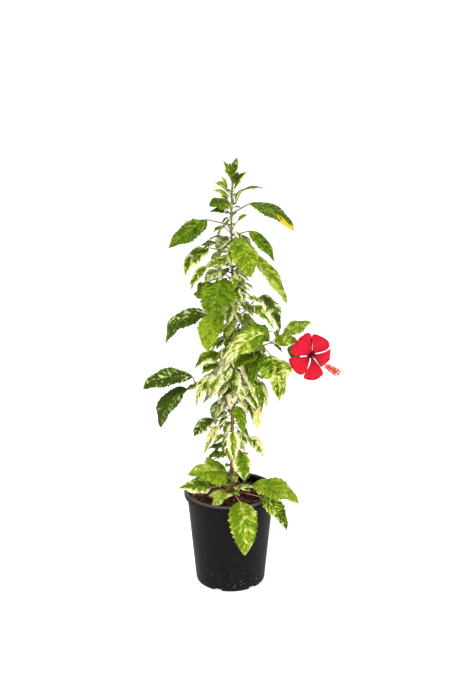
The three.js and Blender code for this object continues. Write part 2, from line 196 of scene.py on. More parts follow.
def bark_material():
    """Hibiscus bark: thin pale brown cork with darker streaks along it, green near the young top."""
    material, tree, skin = start_material("hibiscus_bark", Roughness=0.8)
    place = add(tree, "ShaderNodeTexCoord", out="Object")
    drawn_out = add(tree, "ShaderNodeMapping", {"Scale": (1, 1, 0.22)}, {"Vector": place}, "Vector")
    cork = {"Scale": 1 / (2.2 * MM), "Detail": 6.0, "Roughness": 0.65}
    grain = add(tree, "ShaderNodeTexNoise", cork, {"Vector": drawn_out}, "Fac")
    height = add(tree, "ShaderNodeSeparateXYZ", links={"Vector": place}, out="Z")
    low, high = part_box("stem")
    rise = {"From Min": low.z, "From Max": high.z}
    share = add(tree, "ShaderNodeMapRange", rise, {"Value": height}, "Result")
    base = add(tree, "ShaderNodeValToRGB", {"stops": BARK_STOPS}, {"Fac": share}, "Color")
    streak = add(tree, "ShaderNodeValToRGB", {"stops": BARK_STREAKS}, {"Fac": grain}, "Color")
    overlay = {"data_type": "RGBA", "blend_type": "OVERLAY", "Factor": 0.6}
    tint = add(tree, "ShaderNodeMix", overlay, {6: base, 7: streak}, 2)
    tree.links.new(tint, skin.inputs["Base Color"])
    bump = {"Distance": 0.5 * MM, "Strength": 0.6}
    tree.links.new(add(tree, "ShaderNodeBump", bump, {"Height": grain}, "Normal"), skin.inputs["Normal"])
    return material


PLASTIC_STOPS = [(0.3, "#0d0d0d"), (0.7, "#161514")]
# A painted highlight: the rim's top edge is painted paler, from this depth below the rim up to the rim.
PAINTED_RIM_HIGHLIGHT = {"colour": "#66645e", "depth": 4, "most": 0.75}  # depth below the rim in millimetres
DUST = {"colour": "#bfb19a", "up_to": 70, "apart": 3.8}  # millimetres


def pot_material():
    """Blow-moulded polypropylene: near black and matt, with flecks of watering dust low down.

    The top edge of its rim is painted paler: a painted highlight.
    """
    material, tree, skin = start_material("moulded_polypropylene", IOR=1.49, Specular_IOR_Level=0.07)
    place = add(tree, "ShaderNodeTexCoord", out="Object")
    height = add(tree, "ShaderNodeSeparateXYZ", links={"Vector": place}, out="Z")
    specks = add(tree, "ShaderNodeTexVoronoi", {"Scale": 1 / (DUST["apart"] * MM)}, {"Vector": place})
    pick = add(tree, "ShaderNodeSeparateColor", links={"Color": specks.outputs["Color"]}, out=0)
    cloud_grain = {"Scale": 1 / (28 * MM), "Detail": 5.0}
    cloud = add(tree, "ShaderNodeTexNoise", cloud_grain, {"Vector": place}, "Fac")
    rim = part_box("pot")[1].z
    highlight_from = rim - PAINTED_RIM_HIGHLIGHT["depth"] * MM
    shares = {}
    for name, source, limits in (
        ("low_down", height, {"From Min": DUST["up_to"] * MM, "From Max": 0.0}),
        ("fleck", specks.outputs["Distance"], {"From Min": 0.24, "From Max": 0.16}),
        ("chosen", pick, {"From Min": 0.7, "From Max": 0.74}),
        ("drift", cloud, {"From Min": 0.4, "From Max": 0.55}),
        # the painted highlight along the rim's top edge
        ("rim_highlight", height, {"From Min": highlight_from, "From Max": rim, "To Max": PAINTED_RIM_HIGHLIGHT["most"]}),
        ("rough", cloud, {"To Min": 0.42, "To Max": 0.62}),
    ):
        shares[name] = add(tree, "ShaderNodeMapRange", limits, {"Value": source}, "Result")
    dust = shares["fleck"]
    for name in ("chosen", "low_down", "drift"):
        dust = add(tree, "ShaderNodeMath", {"operation": "MULTIPLY"}, {0: dust, 1: shares[name]}, 0)
    colour = add(tree, "ShaderNodeValToRGB", {"stops": PLASTIC_STOPS}, {"Fac": cloud}, "Color")
    # first the painted rim highlight, then the flecks of dust
    for share, over in ((shares["rim_highlight"], PAINTED_RIM_HIGHLIGHT["colour"]), (dust, DUST["colour"])):
        settings = {"data_type": "RGBA", 7: linear(over)}
        colour = add(tree, "ShaderNodeMix", settings, {0: share, 6: colour}, 2)
    tree.links.new(colour, skin.inputs["Base Color"])
    tree.links.new(shares["rough"], skin.inputs["Roughness"])
    grit_grain = {"Scale": 1 / (1.1 * MM), "Detail": 3.0}
    grit = add(tree, "ShaderNodeTexNoise", grit_grain, {"Vector": place}, "Fac")
    bump = {"Distance": 0.2 * MM, "Strength": 0.5}
    tree.links.new(add(tree, "ShaderNodeBump", bump, {"Height": grit}, "Normal"), skin.inputs["Normal"])
    return material


PETAL_STOPS = [  # from the throat to the brim
    (0.0, "#3c000c"),
    (0.1, "#700415"),
    (0.24, "#b00a22"),
    (0.5, "#c80d28"),
    (1.0, "#d41631"),
]
PETAL_VEINS = 75.0  # radians of the fan of veins from one edge of a petal to the other


def petal_material():
    """Hibiscus petal: velvety red that turns dark crimson in the throat, with fine darker veins."""
    shader = {"Roughness": 0.55, "Sheen_Weight": 0.03, "Sheen_Tint": linear("#ff8a90")}
    material, tree, skin = start_material("hibiscus_petal", Specular_IOR_Level=0.12, **shader)
    place = add(tree, "ShaderNodeUVMap", {"uv_map": "petal"}, out="UV")
    parts = add(tree, "ShaderNodeSeparateXYZ", links={"Vector": place})
    along, across = parts.outputs["Y"], parts.outputs["X"]
    reds = add(tree, "ShaderNodeValToRGB", {"stops": PETAL_STOPS}, {"Fac": along}, "Color")
    fan = add(tree, "ShaderNodeMath", {"operation": "MULTIPLY", 1: PETAL_VEINS}, {0: across}, 0)
    vein = add(tree, "ShaderNodeMath", {"operation": "SINE"}, {0: fan}, 0)
    limits = {"From Min": -1.0, "To Min": 0.76, "To Max": 1.06}
    shade = add(tree, "ShaderNodeMapRange", limits, {"Value": vein}, "Result")
    multiply = {"data_type": "RGBA", "blend_type": "MULTIPLY", 0: 1.0}
    tint = add(tree, "ShaderNodeMix", multiply, {6: reds, 7: shade}, 2)
    tree.links.new(tint, skin.inputs["Base Color"])
    bump = {"Distance": 0.15 * MM, "Strength": 0.5}
    tree.links.new(add(tree, "ShaderNodeBump", bump, {"Height": vein}, "Normal"), skin.inputs["Normal"])
    return material


# ---- pieces and arrays ----


class Heap:
    """Vertices, faces, tones and a petal map that grow into one joined piece."""

    def __init__(self):
        self.places, self.faces, self.tones, self.maps, self.count = [], [], [], [], 0

    def add(self, places, faces, tones, spots=None):
        """Takes in a part: one tone or a tone for each face, and its places on the petal map."""
        self.places.append(places)
        self.faces.append(faces + self.count)
        self.tones.append(np.broadcast_to(tones, (len(faces),)))
        self.maps.append(spots if spots is not None else np.zeros((len(places), 2)))
        self.count += len(places)

    def piece(self, name, materials, map_name=None):
        """The heap as one object, with a tone's number as its face's material slot."""
        mesh = bpy.data.meshes.new(name)
        places = np.concatenate(self.places)
        faces = np.concatenate(self.faces)
        # A face that names its last corner twice is a triangle.
        faces = [face[:3] if face[2] == face[3] else face for face in faces.tolist()]
        mesh.from_pydata(places.tolist(), [], faces)
        for material in materials:
            mesh.materials.append(material)
        mesh.polygons.foreach_set("material_index", np.concatenate(self.tones).astype(np.int32))
        if map_name:
            layer = mesh.uv_layers.new(name=map_name)
            corners = np.concatenate(self.maps)[np.concatenate(faces)]
            layer.data.foreach_set("uv", corners.astype(np.float32).ravel())
        mesh.update()
        piece = bpy.data.objects.new(name, mesh)
        bpy.context.scene.collection.objects.link(piece)
        return piece


def only(piece):
    """Makes the piece the one selected, active object."""
    bpy.ops.object.select_all(action="DESELECT")
    piece.select_set(True)
    bpy.context.view_layer.objects.active = piece


def finish_piece(piece, nodes, smooth):
    """Smooths a piece's edges up to this angle, and states its body and the nodes it replaces."""
    only(piece)
    bpy.ops.object.shade_smooth_by_angle(angle=math.radians(smooth))
    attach(piece, "root")
    if nodes:
        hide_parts(*nodes)


def thicken(piece, thickness, tone_count):
    """Gives a sheet its thickness below its upper face.

    The underside takes the material that stands this many tones further on.
    """
    only(piece)
    wall = piece.modifiers.new("thickness", "SOLIDIFY")
    wall.thickness = thickness
    wall.offset = -1
    wall.material_offset = tone_count
    bpy.ops.object.modifier_apply(modifier=wall.name)


def unit(vectors):
    """The vectors at length one."""
    return vectors / np.linalg.norm(vectors, axis=-1, keepdims=True)


def direction(heading, pitch):
    """The way with this heading in plan (0 along +X, -90 towards the front) and this pitch."""
    h, p = math.radians(heading), math.radians(pitch)
    return np.array([math.cos(h) * math.cos(p), math.sin(h) * math.cos(p), math.sin(p)])


def at_shares(line, shares):
    """Points at these shares of a line's length."""
    steps = np.linalg.norm(np.diff(line, axis=0), axis=1)
    run = np.concatenate([[0], np.cumsum(steps)]) / steps.sum()
    return np.stack([np.interp(shares, run, line[:, i]) for i in range(line.shape[1])], 1)


def rounded(line, count, rounds=3):
    """This many points evenly along the line, with its corners cut off a few rounds over."""
    for _ in range(rounds):
        near = line[:-1] * 0.75 + line[1:] * 0.25
        far = line[:-1] * 0.25 + line[1:] * 0.75
        line = np.vstack([line[:1], np.stack([near, far], 1).reshape(-1, line.shape[1]), line[-1:]])
    return at_shares(line, np.linspace(0, 1, count))


def grid_faces(rows, columns):
    """The faces of a grid of places, row by row."""
    i, j = np.meshgrid(np.arange(rows), np.arange(columns), indexing="ij")
    a = (i * (columns + 1) + j).ravel()
    return np.stack([a, a + columns + 1, a + columns + 2, a + 1], 1)


ASKEW = [0.31, 0.17, 0.93]  # a way that no limb, stalk or thread runs along


def tube(line, radii, sides):
    """Places and faces of a closed round tube along a line."""
    ways = unit(np.gradient(line, axis=0))
    side = unit(np.cross(ways, ASKEW))
    other = np.cross(ways, side)
    turn = np.linspace(0, 2 * math.pi, sides, endpoint=False)
    ring = np.cos(turn)[None, :, None] * side[:, None] + np.sin(turn)[None, :, None] * other[:, None]
    places = (line[:, None] + ring * np.asarray(radii)[:, None, None]).reshape(-1, 3)
    faces = []
    for k in range(len(line) - 1):
        for i in range(sides):
            a, b = k * sides + i, k * sides + (i + 1) % sides
            faces.append((a, b, b + sides, a + sides))
    first, last = len(places), len(places) + 1
    end = (len(line) - 1) * sides
    for i in range(0, sides, 2):
        faces.append((first, (i + 2) % sides, i + 1, i))
        faces.append((last, end + i, end + i + 1, end + (i + 2) % sides))
    places = np.vstack([places, line[:1], line[-1:]])
    return places, np.array(faces)


def begin_disc(name, sides, radius, place, turned=(0, 0, 0)):
    """A filled disc, selected in edit mode and ready to be drawn up into a solid."""
    bpy.ops.object.select_all(action="DESELECT")
    bpy.ops.mesh.primitive_circle_add(
        vertices=sides, radius=radius, location=place, rotation=turned, fill_type="NGON"
    )
    disc = bpy.context.object
    disc.name = disc.data.name = name
    bpy.ops.object.transform_apply(location=True, rotation=True, scale=True)
    bpy.ops.object.mode_set(mode="EDIT")
    bpy.ops.mesh.select_mode(type="FACE")
    bpy.ops.mesh.select_all(action="SELECT")
    return disc


def end_solid():
    """Turns every face of the solid outwards and leaves edit mode."""
    bpy.ops.mesh.select_all(action="SELECT")
    bpy.ops.mesh.normals_make_consistent(inside=False)
    bpy.ops.object.mode_set(mode="OBJECT")


# ---- reading the CAD solids ----


def solid_arrays(node):
    """A CAD node's places and edges."""
    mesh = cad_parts[node].data
    places = np.zeros(len(mesh.vertices) * 3)
    mesh.vertices.foreach_get("co", places)
    edges = np.zeros(len(mesh.edges) * 2, dtype=int)
    mesh.edges.foreach_get("vertices", edges)
    return places.reshape(-1, 3), edges.reshape(-1, 2)


SPAN = (0.015, 0.985)  # the share of a solid's length that is sliced


def sections(node, heel, count):
    """Slices a long solid from its heel to its tip: each slice's middle and half span, and the tip."""
    places, edges = solid_arrays(node)
    tip = places[np.argmax(np.linalg.norm(places - heel, axis=1))]
    way = unit(tip - heel)
    reach = (places - heel) @ way
    middles, spans = [], []
    for share in np.linspace(*SPAN, count):
        height = reach - share * reach.max()
        a, b = height[edges[:, 0]], height[edges[:, 1]]
        cut = a * b < 0
        part = (a[cut] / (a[cut] - b[cut]))[:, None]
        found = places[edges[cut, 0]] * (1 - part) + places[edges[cut, 1]] * part
        if len(found) < 3:
            continue
        one = found[np.argmax(np.linalg.norm(found - found.mean(0), axis=1))]
        other = found[np.argmax(np.linalg.norm(found - one, axis=1))]
        middles.append((one + other) / 2)
        spans.append((one - other) / 2)
    return np.array(middles), np.array(spans), tip


def nearest(line, places):
    """The nearest point of a line to any of the places, and that place."""
    away = np.linalg.norm(places[:, None] - line[None], axis=2)
    i, k = np.unravel_index(np.argmin(away), away.shape)
    return line[k], places[i]


SLICES = {"stem": 48, "limb": 14}
LIMB_POINTS = 24
CARRIER_POINTS = 400  # how finely a carrier's line is searched for the point where a limb leaves it
CARRIERS = {
    "flower_branch": "stem",
    "upper_shoot": "stem",
    "left_shoot": "stem",
    "flower_stalk": "flower_branch",
    "leaf_twig": "flower_branch",
}


def read_limbs():
    """Each limb's centre line and radii from the CAD, begun inside the limb that carries it."""
    limbs = {}
    places, _ = solid_arrays("stem")
    foot = places[places[:, 2] < places[:, 2].min() + MM].mean(0)
    middles, spans, tip = sections("stem", foot, SLICES["stem"])
    line = np.vstack([foot, middles, tip])
    radii = np.linalg.norm(spans, axis=1)
    limbs["stem"] = (line, np.concatenate([[radii[0]], radii, [radii[-1]]]))
    even = np.linspace(0, 1, LIMB_POINTS)
    for name, carrier in CARRIERS.items():
        places, _ = solid_arrays(name)
        root, heel = nearest(at_shares(limbs[carrier][0], np.linspace(0, 1, CARRIER_POINTS)), places)
        middles, spans, tip = sections(name, heel, SLICES["limb"])
        radii = np.linalg.norm(spans, axis=1)
        line = np.vstack([root, middles[1:], tip])
        known = np.linspace(0, 1, SLICES["limb"])
        limbs[name] = (rounded(line, LIMB_POINTS), np.interp(even, known, radii))
    return limbs


# ---- stem and shoots ----

STEM = {"sides": 12, "ring": 3.2, "scar": 0.16, "scar_height": 2.2}  # rings and scars in millimetres
SHOOT = {"sides": 8, "rings": 28}
BARK_RELIEF = {"lumps": (6.0, 0.7), "cork": (1.5, 0.45)}  # grain and depth in millimetres
SHOOT_RELIEF = {"skin": (4.0, 0.4)}  # the same
SHOOT_SKINS = {"green_shoot_skin": "#87903a", "brown_shoot_skin": "#8a7040"}
SHOOTS = {
    "flower_branch": "green_shoot_skin",
    "upper_shoot": "brown_shoot_skin",
    "left_shoot": "brown_shoot_skin",
    "flower_stalk": "green_shoot_skin",
    "leaf_twig": "green_shoot_skin",
}


def grow_limb(name, line, radii, sides):
    """A limb drawn out ring by ring along its line, from a circle square to its chord."""
    way = Vector(line[-1] - line[0])
    limb = begin_disc(name, sides, radii[0], line[0], way.to_track_quat("Z", "Y").to_euler())
    for k in range(1, len(line)):
        bpy.ops.mesh.extrude_region_move(TRANSFORM_OT_translate={"value": Vector(line[k] - line[k - 1])})
        size = radii[k] / radii[k - 1]
        bpy.ops.transform.resize(value=(size, size, size), center_override=Vector(line[k]))
    end_solid()
    return limb


def roughen(piece, reliefs, levels):
    """Rounds a piece off, then raises its surface in lumps: a grain size and a depth for each relief."""
    only(piece)
    smooth = piece.modifiers.new("round", "SUBSURF")
    smooth.levels = smooth.render_levels = levels
    bpy.ops.object.modifier_apply(modifier=smooth.name)
    for name, (grain, depth) in reliefs.items():
        texture = bpy.data.textures.new(name, "CLOUDS")
        texture.noise_scale = grain * MM
        lumps = piece.modifiers.new(name, "DISPLACE")
        lumps.texture = texture
        lumps.texture_coords = "LOCAL"
        lumps.strength = depth * MM
        bpy.ops.object.modifier_apply(modifier=lumps.name)


def make_wood(limbs, scars):
    """The barked stem, swollen in a ring at each leaf's scar, and the younger shoots."""
    line, radii = limbs["stem"]
    length = np.linalg.norm(np.diff(line, axis=0), axis=1).sum()
    shares = np.linspace(0, 1, int(length / (STEM["ring"] * MM)))
    fine = at_shares(np.hstack([line, radii[:, None]]), shares)
    away = (fine[:, None, 2] - np.array(scars)[None]) / (STEM["scar_height"] * MM)
    rings = np.minimum(np.exp(-(away**2)).sum(1), 1)
    stem = grow_limb("barked_stem", fine[:, :3], fine[:, 3] * (1 + STEM["scar"] * rings), STEM["sides"])
    roughen(stem, BARK_RELIEF, levels=2)
    stem.data.materials.append(bark_material())
    finish_piece(stem, ["stem"], smooth=60)
    skins = {name: stalk_material(name, colour) for name, colour in SHOOT_SKINS.items()}
    shares = np.linspace(0, 1, SHOOT["rings"])
    for name, skin in SHOOTS.items():
        line, radii = limbs[name]
        fine = at_shares(np.hstack([line, radii[:, None]]), shares)
        shoot = grow_limb(f"{name}_wood", fine[:, :3], fine[:, 3], SHOOT["sides"])
        roughen(shoot, SHOOT_RELIEF, levels=2)
        shoot.data.materials.append(skins[skin])
        finish_piece(shoot, [name], smooth=60)


# ---- leaves ----

# A look: its tones in order, where on them the midrib lies, how far the margin and the tip lie
# beyond, how unevenly the fields between the side veins do, and how strong the flecks are.
LOOKS = {
    "green": ("deep dark dark mid fresh", 0.42, 0.1, 0.0, 0.3, 0.4),
    "fresh": ("dark mid mid fresh bright", 0.38, 0.12, 0.0, 0.26, 0.4),
    "bright": ("dark mid fresh fresh bright", 0.42, 0.12, 0.0, 0.2, 0.4),
    "netted": ("deep dark mid fresh bright pale", 0.42, 0.15, 0.2, 0.35, 0.5),
    "rimmed": ("dark mid mid fresh pale cream", 0.15, 0.8, 0.0, 0.3, 0.2),
    "lime": ("mid mid fresh bright bright pale", 0.34, 0.15, 0.0, 0.3, 0.5),
    "deep": ("deep deep dark dark grey", 0.34, 0.12, 0.0, 0.35, 0.5),
    "flecked": ("deep dark mid fresh bright pale", 0.38, 0.2, 0.0, 0.35, 0.6),
    "speckled": ("deep deep dark mid grey pale", 0.34, 0.15, 0.0, 0.35, 0.6),
    "banded": ("deep dark dark grey pale cream", 0.26, 0.62, 0.0, 0.5, 0.3),
    "grey": ("dark mid grey grey pale", 0.38, 0.2, 0.0, 0.4, 0.4),
    "edged": ("dark mid mid fresh pale cream cream", 0.11, 1.15, 0.0, 0.3, 0.16),
    "mottled": ("dark mid fresh pale pale cream", 0.2, 0.65, 0.0, 0.5, 0.3),
    "creamy": ("mid fresh pale pale cream cream", 0.24, 0.75, 0.0, 0.5, 0.25),
    "blushed": ("fresh grey cream cream blush", 0.2, 0.6, 0.0, 0.6, 0.22),
    "frosted": ("dark mid mid fresh bright pale cream", 0.08, 0.1, 0.7, 0.3, 0.3),
    "tipped": ("deep dark dark mid fresh", 0.42, 0.1, 0.0, 0.3, 0.4),
    "golden": ("blush pale yellow yellow pale cream", 0.3, 0.5, 0.0, 0.4, 0.2),
    "young": ("mid fresh bright pale pale", 0.2, 0.4, 0.0, 0.35, 0.3),
    "bud": ("deep dark dark mid bright pale", 0.1, 0.85, 0.0, 0.3, 0.3),
    "dappled": ("mid fresh fresh bright pale", 0.3, 0.3, 0.0, 0.3, 0.4),
}

# The outlines that a blade may have: where it is broadest, from heel to tip, and how bluntly it ends.
OUTLINES = {
    "ovate": (0.62, 1.0),
    "oval": (0.78, 0.95),
    "slim": (0.9, 1.0),
    "blunt": (0.85, 0.72),
    "round": (0.72, 0.75),
    "lobed": (0.6, 0.95),
}

# Each large leaf: its look, its outline, its width beside its pad's, the fold along the midrib in
# degrees and the waviness of its margin.
LARGE = {
    "leaf_crown_1": ("fresh", "slim", 1.0, 14, 0.6),
    "leaf_crown_2": ("fresh", "slim", 1.2, 18, 0.6),
    "leaf_crown_3": ("green", "blunt", 1.25, 10, 0.8),
    "leaf_crown_4": ("tipped", "blunt", 1.0, 10, 0.7),
    "leaf_crown_5": ("green", "oval", 0.93, 6, 0.7),
    "leaf_shoulder_1": ("green", "oval", 0.9, 12, 0.8),
    "leaf_shoulder_2": ("fresh", "round", 1.1, 6, 1.2),
    "leaf_shoulder_3": ("lime", "blunt", 0.95, 14, 1.0),
    "leaf_shoulder_4": ("mottled", "oval", 1.0, 12, 1.0),
    "leaf_shoulder_5": ("flecked", "ovate", 1.0, 12, 1.0),
    "leaf_shoulder_6": ("mottled", "oval", 1.0, 12, 1.0),
    "leaf_middle_1": ("grey", "oval", 1.0, 12, 1.0),
    "leaf_middle_2": ("green", "ovate", 1.0, 10, 0.8),
    "leaf_middle_3": ("fresh", "round", 1.08, 6, 1.3),
    "leaf_middle_4": ("bright", "round", 1.1, 6, 1.2),
    "leaf_middle_5": ("speckled", "blunt", 1.0, 12, 1.0),
    "leaf_shoot_1": ("banded", "ovate", 1.3, 14, 0.8),
    "leaf_shoot_2": ("mottled", "ovate", 1.0, 14, 0.8),
    "leaf_branch_1": ("lime", "oval", 1.45, 12, 0.6),
    "leaf_branch_2": ("green", "ovate", 1.0, 8, 0.6),
    "leaf_branch_3": ("frosted", "oval", 1.0, 10, 0.8),
    "leaf_branch_4": ("fresh", "lobed", 1.1, 10, 0.9),
    "leaf_branch_5": ("green", "ovate", 1.0, 10, 0.9),
    "leaf_branch_6": ("netted", "lobed", 1.05, 10, 1.4),
    "leaf_heart_1": ("rimmed", "ovate", 1.1, 12, 0.9),
    "leaf_heart_2": ("mottled", "ovate", 1.0, 12, 0.9),
    "leaf_heart_3": ("mottled", "ovate", 1.0, 10, 0.9),
    "leaf_heart_4": ("creamy", "ovate", 1.0, 10, 0.9),
    "leaf_left_1": ("speckled", "blunt", 1.0, 12, 0.8),
    "leaf_left_2": ("deep", "blunt", 1.0, 12, 0.9),
    "leaf_waist_1": ("flecked", "ovate", 1.0, 14, 0.6),
    "leaf_waist_2": ("fresh", "ovate", 1.0, 12, 0.6),
    "leaf_waist_3": ("banded", "round", 1.18, 14, 0.8),
    "leaf_waist_4": ("creamy", "ovate", 1.0, 12, 0.9),
    "leaf_waist_5": ("edged", "ovate", 1.0, 10, 0.8),
    "leaf_waist_6": ("mottled", "slim", 0.95, 14, 0.9),
    "leaf_waist_7": ("rimmed", "oval", 1.35, 10, 0.8),
    "leaf_foot_1": ("dappled", "lobed", 1.02, 8, 1.0),
    "leaf_foot_2": ("rimmed", "ovate", 1.0, 10, 1.0),
    "leaf_foot_3": ("dappled", "lobed", 1.1, 8, 1.0),
    "leaf_foot_4": ("dappled", "oval", 1.0, 10, 1.0),
    "leaf_foot_5": ("flecked", "ovate", 1.0, 12, 1.0),
    "leaf_foot_6": ("lime", "round", 0.97, 8, 1.0),
}

# Lengths in millimetres, angles in degrees, and shares of the blade's length or half width.
BLADE = {
    "slant": 0.17,  # how far a side vein runs forward on its way to the margin
    "tooth": 0.1,
    "quilt": 1.7,
    "wave": 2.8,
    "waves": 2.3,
    "thickness": 0.35,
    "tip": 2.0,
    "heel": 1.2,
    "vein": 0.12,
    "rib": 0.06,
    "twist": 9,
    "heel_twist": -0.4,  # the heel turns the other way, by this share
    "droop": 0.22,  # how far the margin hangs, beside the half width
    "broad": 50,  # a blade this broad has the full quilting and waves
    "most": 1.2,
    "points": 40,
}
TEETH = ([0, 0.12, 0.3, 0.47, 0.65, 1], [0.7, 1.0, -0.9, 0.7, -0.7, 0.7])  # two to each side vein
TOOTH_SIZES = (0.6, 0.9)  # the least, and how much more one may be
TOOTH_FADES = (6, 8)  # how fast the teeth rise from the heel and fade at the tip
# How broad a lobed blade is beside a plain one, at these shares of its length.
LOBES_AT = ([0, 0.3, 0.42, 0.55, 0.8, 1], [0.95, 1.15, 1.2, 0.8, 0.95, 1])
HOOK = {"from": 0.7, "over": 0.3, "drop": 0.03}  # how a large leaf's tip hangs, in shares of its length
LARGE_GRID = (12, 6, 11)  # side veins, rows of faces to each, and columns in each half
SMALL_GRID = (8, 4, 6)

# How a look is laid on: how late the margin's tone sets in, how much one half may differ from the
# other, and how much paler a side vein and the midrib are.
PAINT = {"outward": 1.3, "by_half": 0.35, "vein": 0.1, "rib": 0.12}
SPENT = {"from": 0.56, "ragged": 0.1, "tip": 0.86}  # where a leaf with a spent tip is yellow


def outline(along, kind):
    """A blade's half width: round near the stalk and drawn out to a fine tip."""
    along = np.clip(along, 0, 1)
    place, bluntness = OUTLINES[kind]
    body = np.clip(np.sin(math.pi * along**place), 0, 1) ** bluntness
    return body * np.interp(along, *LOBES_AT) if kind == "lobed" else body


def smooth_noise(rng, shape, bumps):
    """Seeded noise between -1 and 1 over rows and columns, with this many bumps each way."""
    knots = rng.uniform(-1, 1, (bumps[0] + 2, bumps[1] + 2))
    rows, columns = [np.linspace(0, n, size, endpoint=False) for n, size in zip(bumps, shape, strict=True)]
    i, j = rows.astype(int), columns.astype(int)
    u, v = rows - i, columns - j
    u, v = (u * u * (3 - 2 * u))[:, None], v * v * (3 - 2 * v)
    near = knots[i][:, j] * (1 - v) + knots[i][:, j + 1] * v
    far = knots[i + 1][:, j] * (1 - v) + knots[i + 1][:, j + 1] * v
    return near * (1 - u) + far * u


def paint(grid, out, look, rng):
    """Each face's tone: bands that follow the side veins from midrib to margin, broken by flecks."""
    veins, to_each, half = grid
    rows, columns = veins * to_each, 2 * half
    tones, start, reach, tipward, uneven, fleck = LOOKS[look]
    tones = [TONE_NAMES.index(tone) for tone in tones.split()]
    along = np.linspace(0, 1, rows)[:, None]
    value = start + reach * out[None] ** PAINT["outward"] + tipward * along
    for hand in (0, 1):
        part = value[:, hand * half : (hand + 1) * half]
        part += uneven * (smooth_noise(rng, (rows, half), (veins, 2)) + PAINT["by_half"] * rng.normal())
    value += fleck * smooth_noise(rng, (rows, columns), (rows // 2, columns // 2))
    value[::to_each] += PAINT["vein"]
    value[:, half - 1 : half + 1] += PAINT["rib"]
    numbers = np.array(tones)[np.clip((value * len(tones)).astype(int), 0, len(tones) - 1)]
    if look == "tipped":
        ragged = smooth_noise(rng, (rows, half), (veins, 2)) * SPENT["ragged"]
        numbers[:, :half][ragged + along > SPENT["from"]] = TONE_NAMES.index("yellow")
        numbers[int(rows * SPENT["tip"]) :] = TONE_NAMES.index("yellow")
    return numbers.ravel()


def toothing(rows, between, veins, rng):
    """How far each row's teeth stand out on the right and the left margin."""
    saw = np.interp(np.tile(between, veins), *TEETH)
    least, more = TOOTH_SIZES
    uneven = least + more * rng.random((veins, 2))
    teeth = np.stack([saw * np.repeat(uneven[:, hand], len(between)) for hand in (0, 1)])
    rise, fade = TOOTH_FADES
    return np.pad(teeth, ((0, 0), (0, 1))) * np.clip(rows * rise, 0, 1) * np.clip((1 - rows) * fade, 0, 1)


def blade(rib, side, width, grid, kind, look, fold, wave, rng):
    """One leaf blade: places, faces and tones. The rib is its midrib, and side its left hand."""
    veins, to_each, half_columns = grid
    ways = unit(np.gradient(rib, axis=0))
    side = unit(side - (side * ways).sum(1, keepdims=True) * ways)
    face = np.cross(ways, side)
    twist = math.radians(rng.normal() * BLADE["twist"])
    twist = twist * np.linspace(BLADE["heel_twist"], 1, len(rib))[:, None]
    side, face = side * np.cos(twist) + face * np.sin(twist), face * np.cos(twist) - side * np.sin(twist)
    shares = np.linspace(0, 1, len(rib))
    between = np.concatenate([[0.0], np.linspace(BLADE["vein"], 1, to_each)[:-1]])
    rows = np.concatenate([((np.arange(veins)[:, None] + between[None]) / veins).ravel(), [1.0]])
    right = np.concatenate([[0.0], np.linspace(BLADE["rib"], 1, half_columns)])
    across = np.concatenate([-right[:0:-1], right])
    S, V = np.meshgrid(rows, across, indexing="ij")
    out = np.abs(V)
    along = S + BLADE["slant"] * 4 * S * (1 - S) * out

    def at(values):
        return np.stack([np.interp(along, shares, values[:, i]) for i in range(3)], -1)

    teeth = toothing(rows, between, veins, rng)
    tooth = np.where(V > 0, teeth[1][:, None], teeth[0][:, None])
    half = width / 2 * outline(along, kind) * (1 + BLADE["tooth"] * tooth * out**6)
    half = np.maximum(half, np.where(S > 0.5, BLADE["tip"], BLADE["heel"]) * MM / 2)
    tilt = math.radians(fold)
    scale = min(width / (BLADE["broad"] * MM), BLADE["most"])
    phase = rng.random(2) * PHASE
    ripple = np.sin(2 * math.pi * BLADE["waves"] * S + np.where(V > 0, phase[0], phase[1])) * out**2
    in_vein = np.append(np.tile(between, veins), 0)
    quilt = np.sin(math.pi * in_vein)[:, None] * np.sin(math.pi * out) ** 0.8
    taper = np.sin(math.pi * np.clip(along, 0, 1)) ** 0.6
    rise = (BLADE["quilt"] * quilt + BLADE["wave"] * wave * ripple) * MM * scale * taper
    rise += half * out * math.sin(tilt) - half * out**3 * BLADE["droop"]
    places = at(rib) + at(side) * (V * half * math.cos(tilt))[..., None] + at(face) * rise[..., None]
    middles = np.abs(across[1:] + across[:-1]) / 2
    faces = grid_faces(len(rows) - 1, len(across) - 1)
    return places.reshape(-1, 3), faces, paint(grid, middles, look, rng)


# Each leafy piece and its slot. The branch has a piece of its own, to keep each piece light.
LEAF_PIECES = {
    "upper_large_leaves": "leaf",
    "lower_large_leaves": "leaf",
    "upper_small_leaves": "young_leaf",
    "branch_small_leaves": "young_leaf",
    "lower_small_leaves": "young_leaf",
}
UPPER = ("crown", "shoulder", "middle", "shoot", "branch", "tip")  # the rest are lower leaves


def piece_of(node, size):
    """The piece that the leaves of a pad or a tuft go to."""
    if node == "tuft_branch":
        return "branch_small_leaves"
    return f"{'upper' if node.split('_')[1] in UPPER else 'lower'}_{size}_leaves"


STALK = {"heel": 1.6, "neck": 1.2, "flare": 1.5, "sides": 6, "points": 7}
STALK_SKINS = {
    "green_stalk": "#74842c",
    "bronze_stalk": "#665228",
    "amber_stalk": "#b88c44",
    "pink_stalk": "#b97c5e",
}
STALKS_UP_TO = (  # height in metres, the share of the first skin, and the two skins
    (0.3, 0.6, "amber_stalk", "pink_stalk"),
    (0.5, 0.5, "bronze_stalk", "green_stalk"),
    (math.inf, 0.4, "green_stalk", "bronze_stalk"),
)


def skin_at(height, rng):
    """Stalks are green or bronze high up and in the middle, and amber or pink near the foot."""
    share, first, second = next(row[1:] for row in STALKS_UP_TO if height < row[0])
    return first if rng.random() < share else second


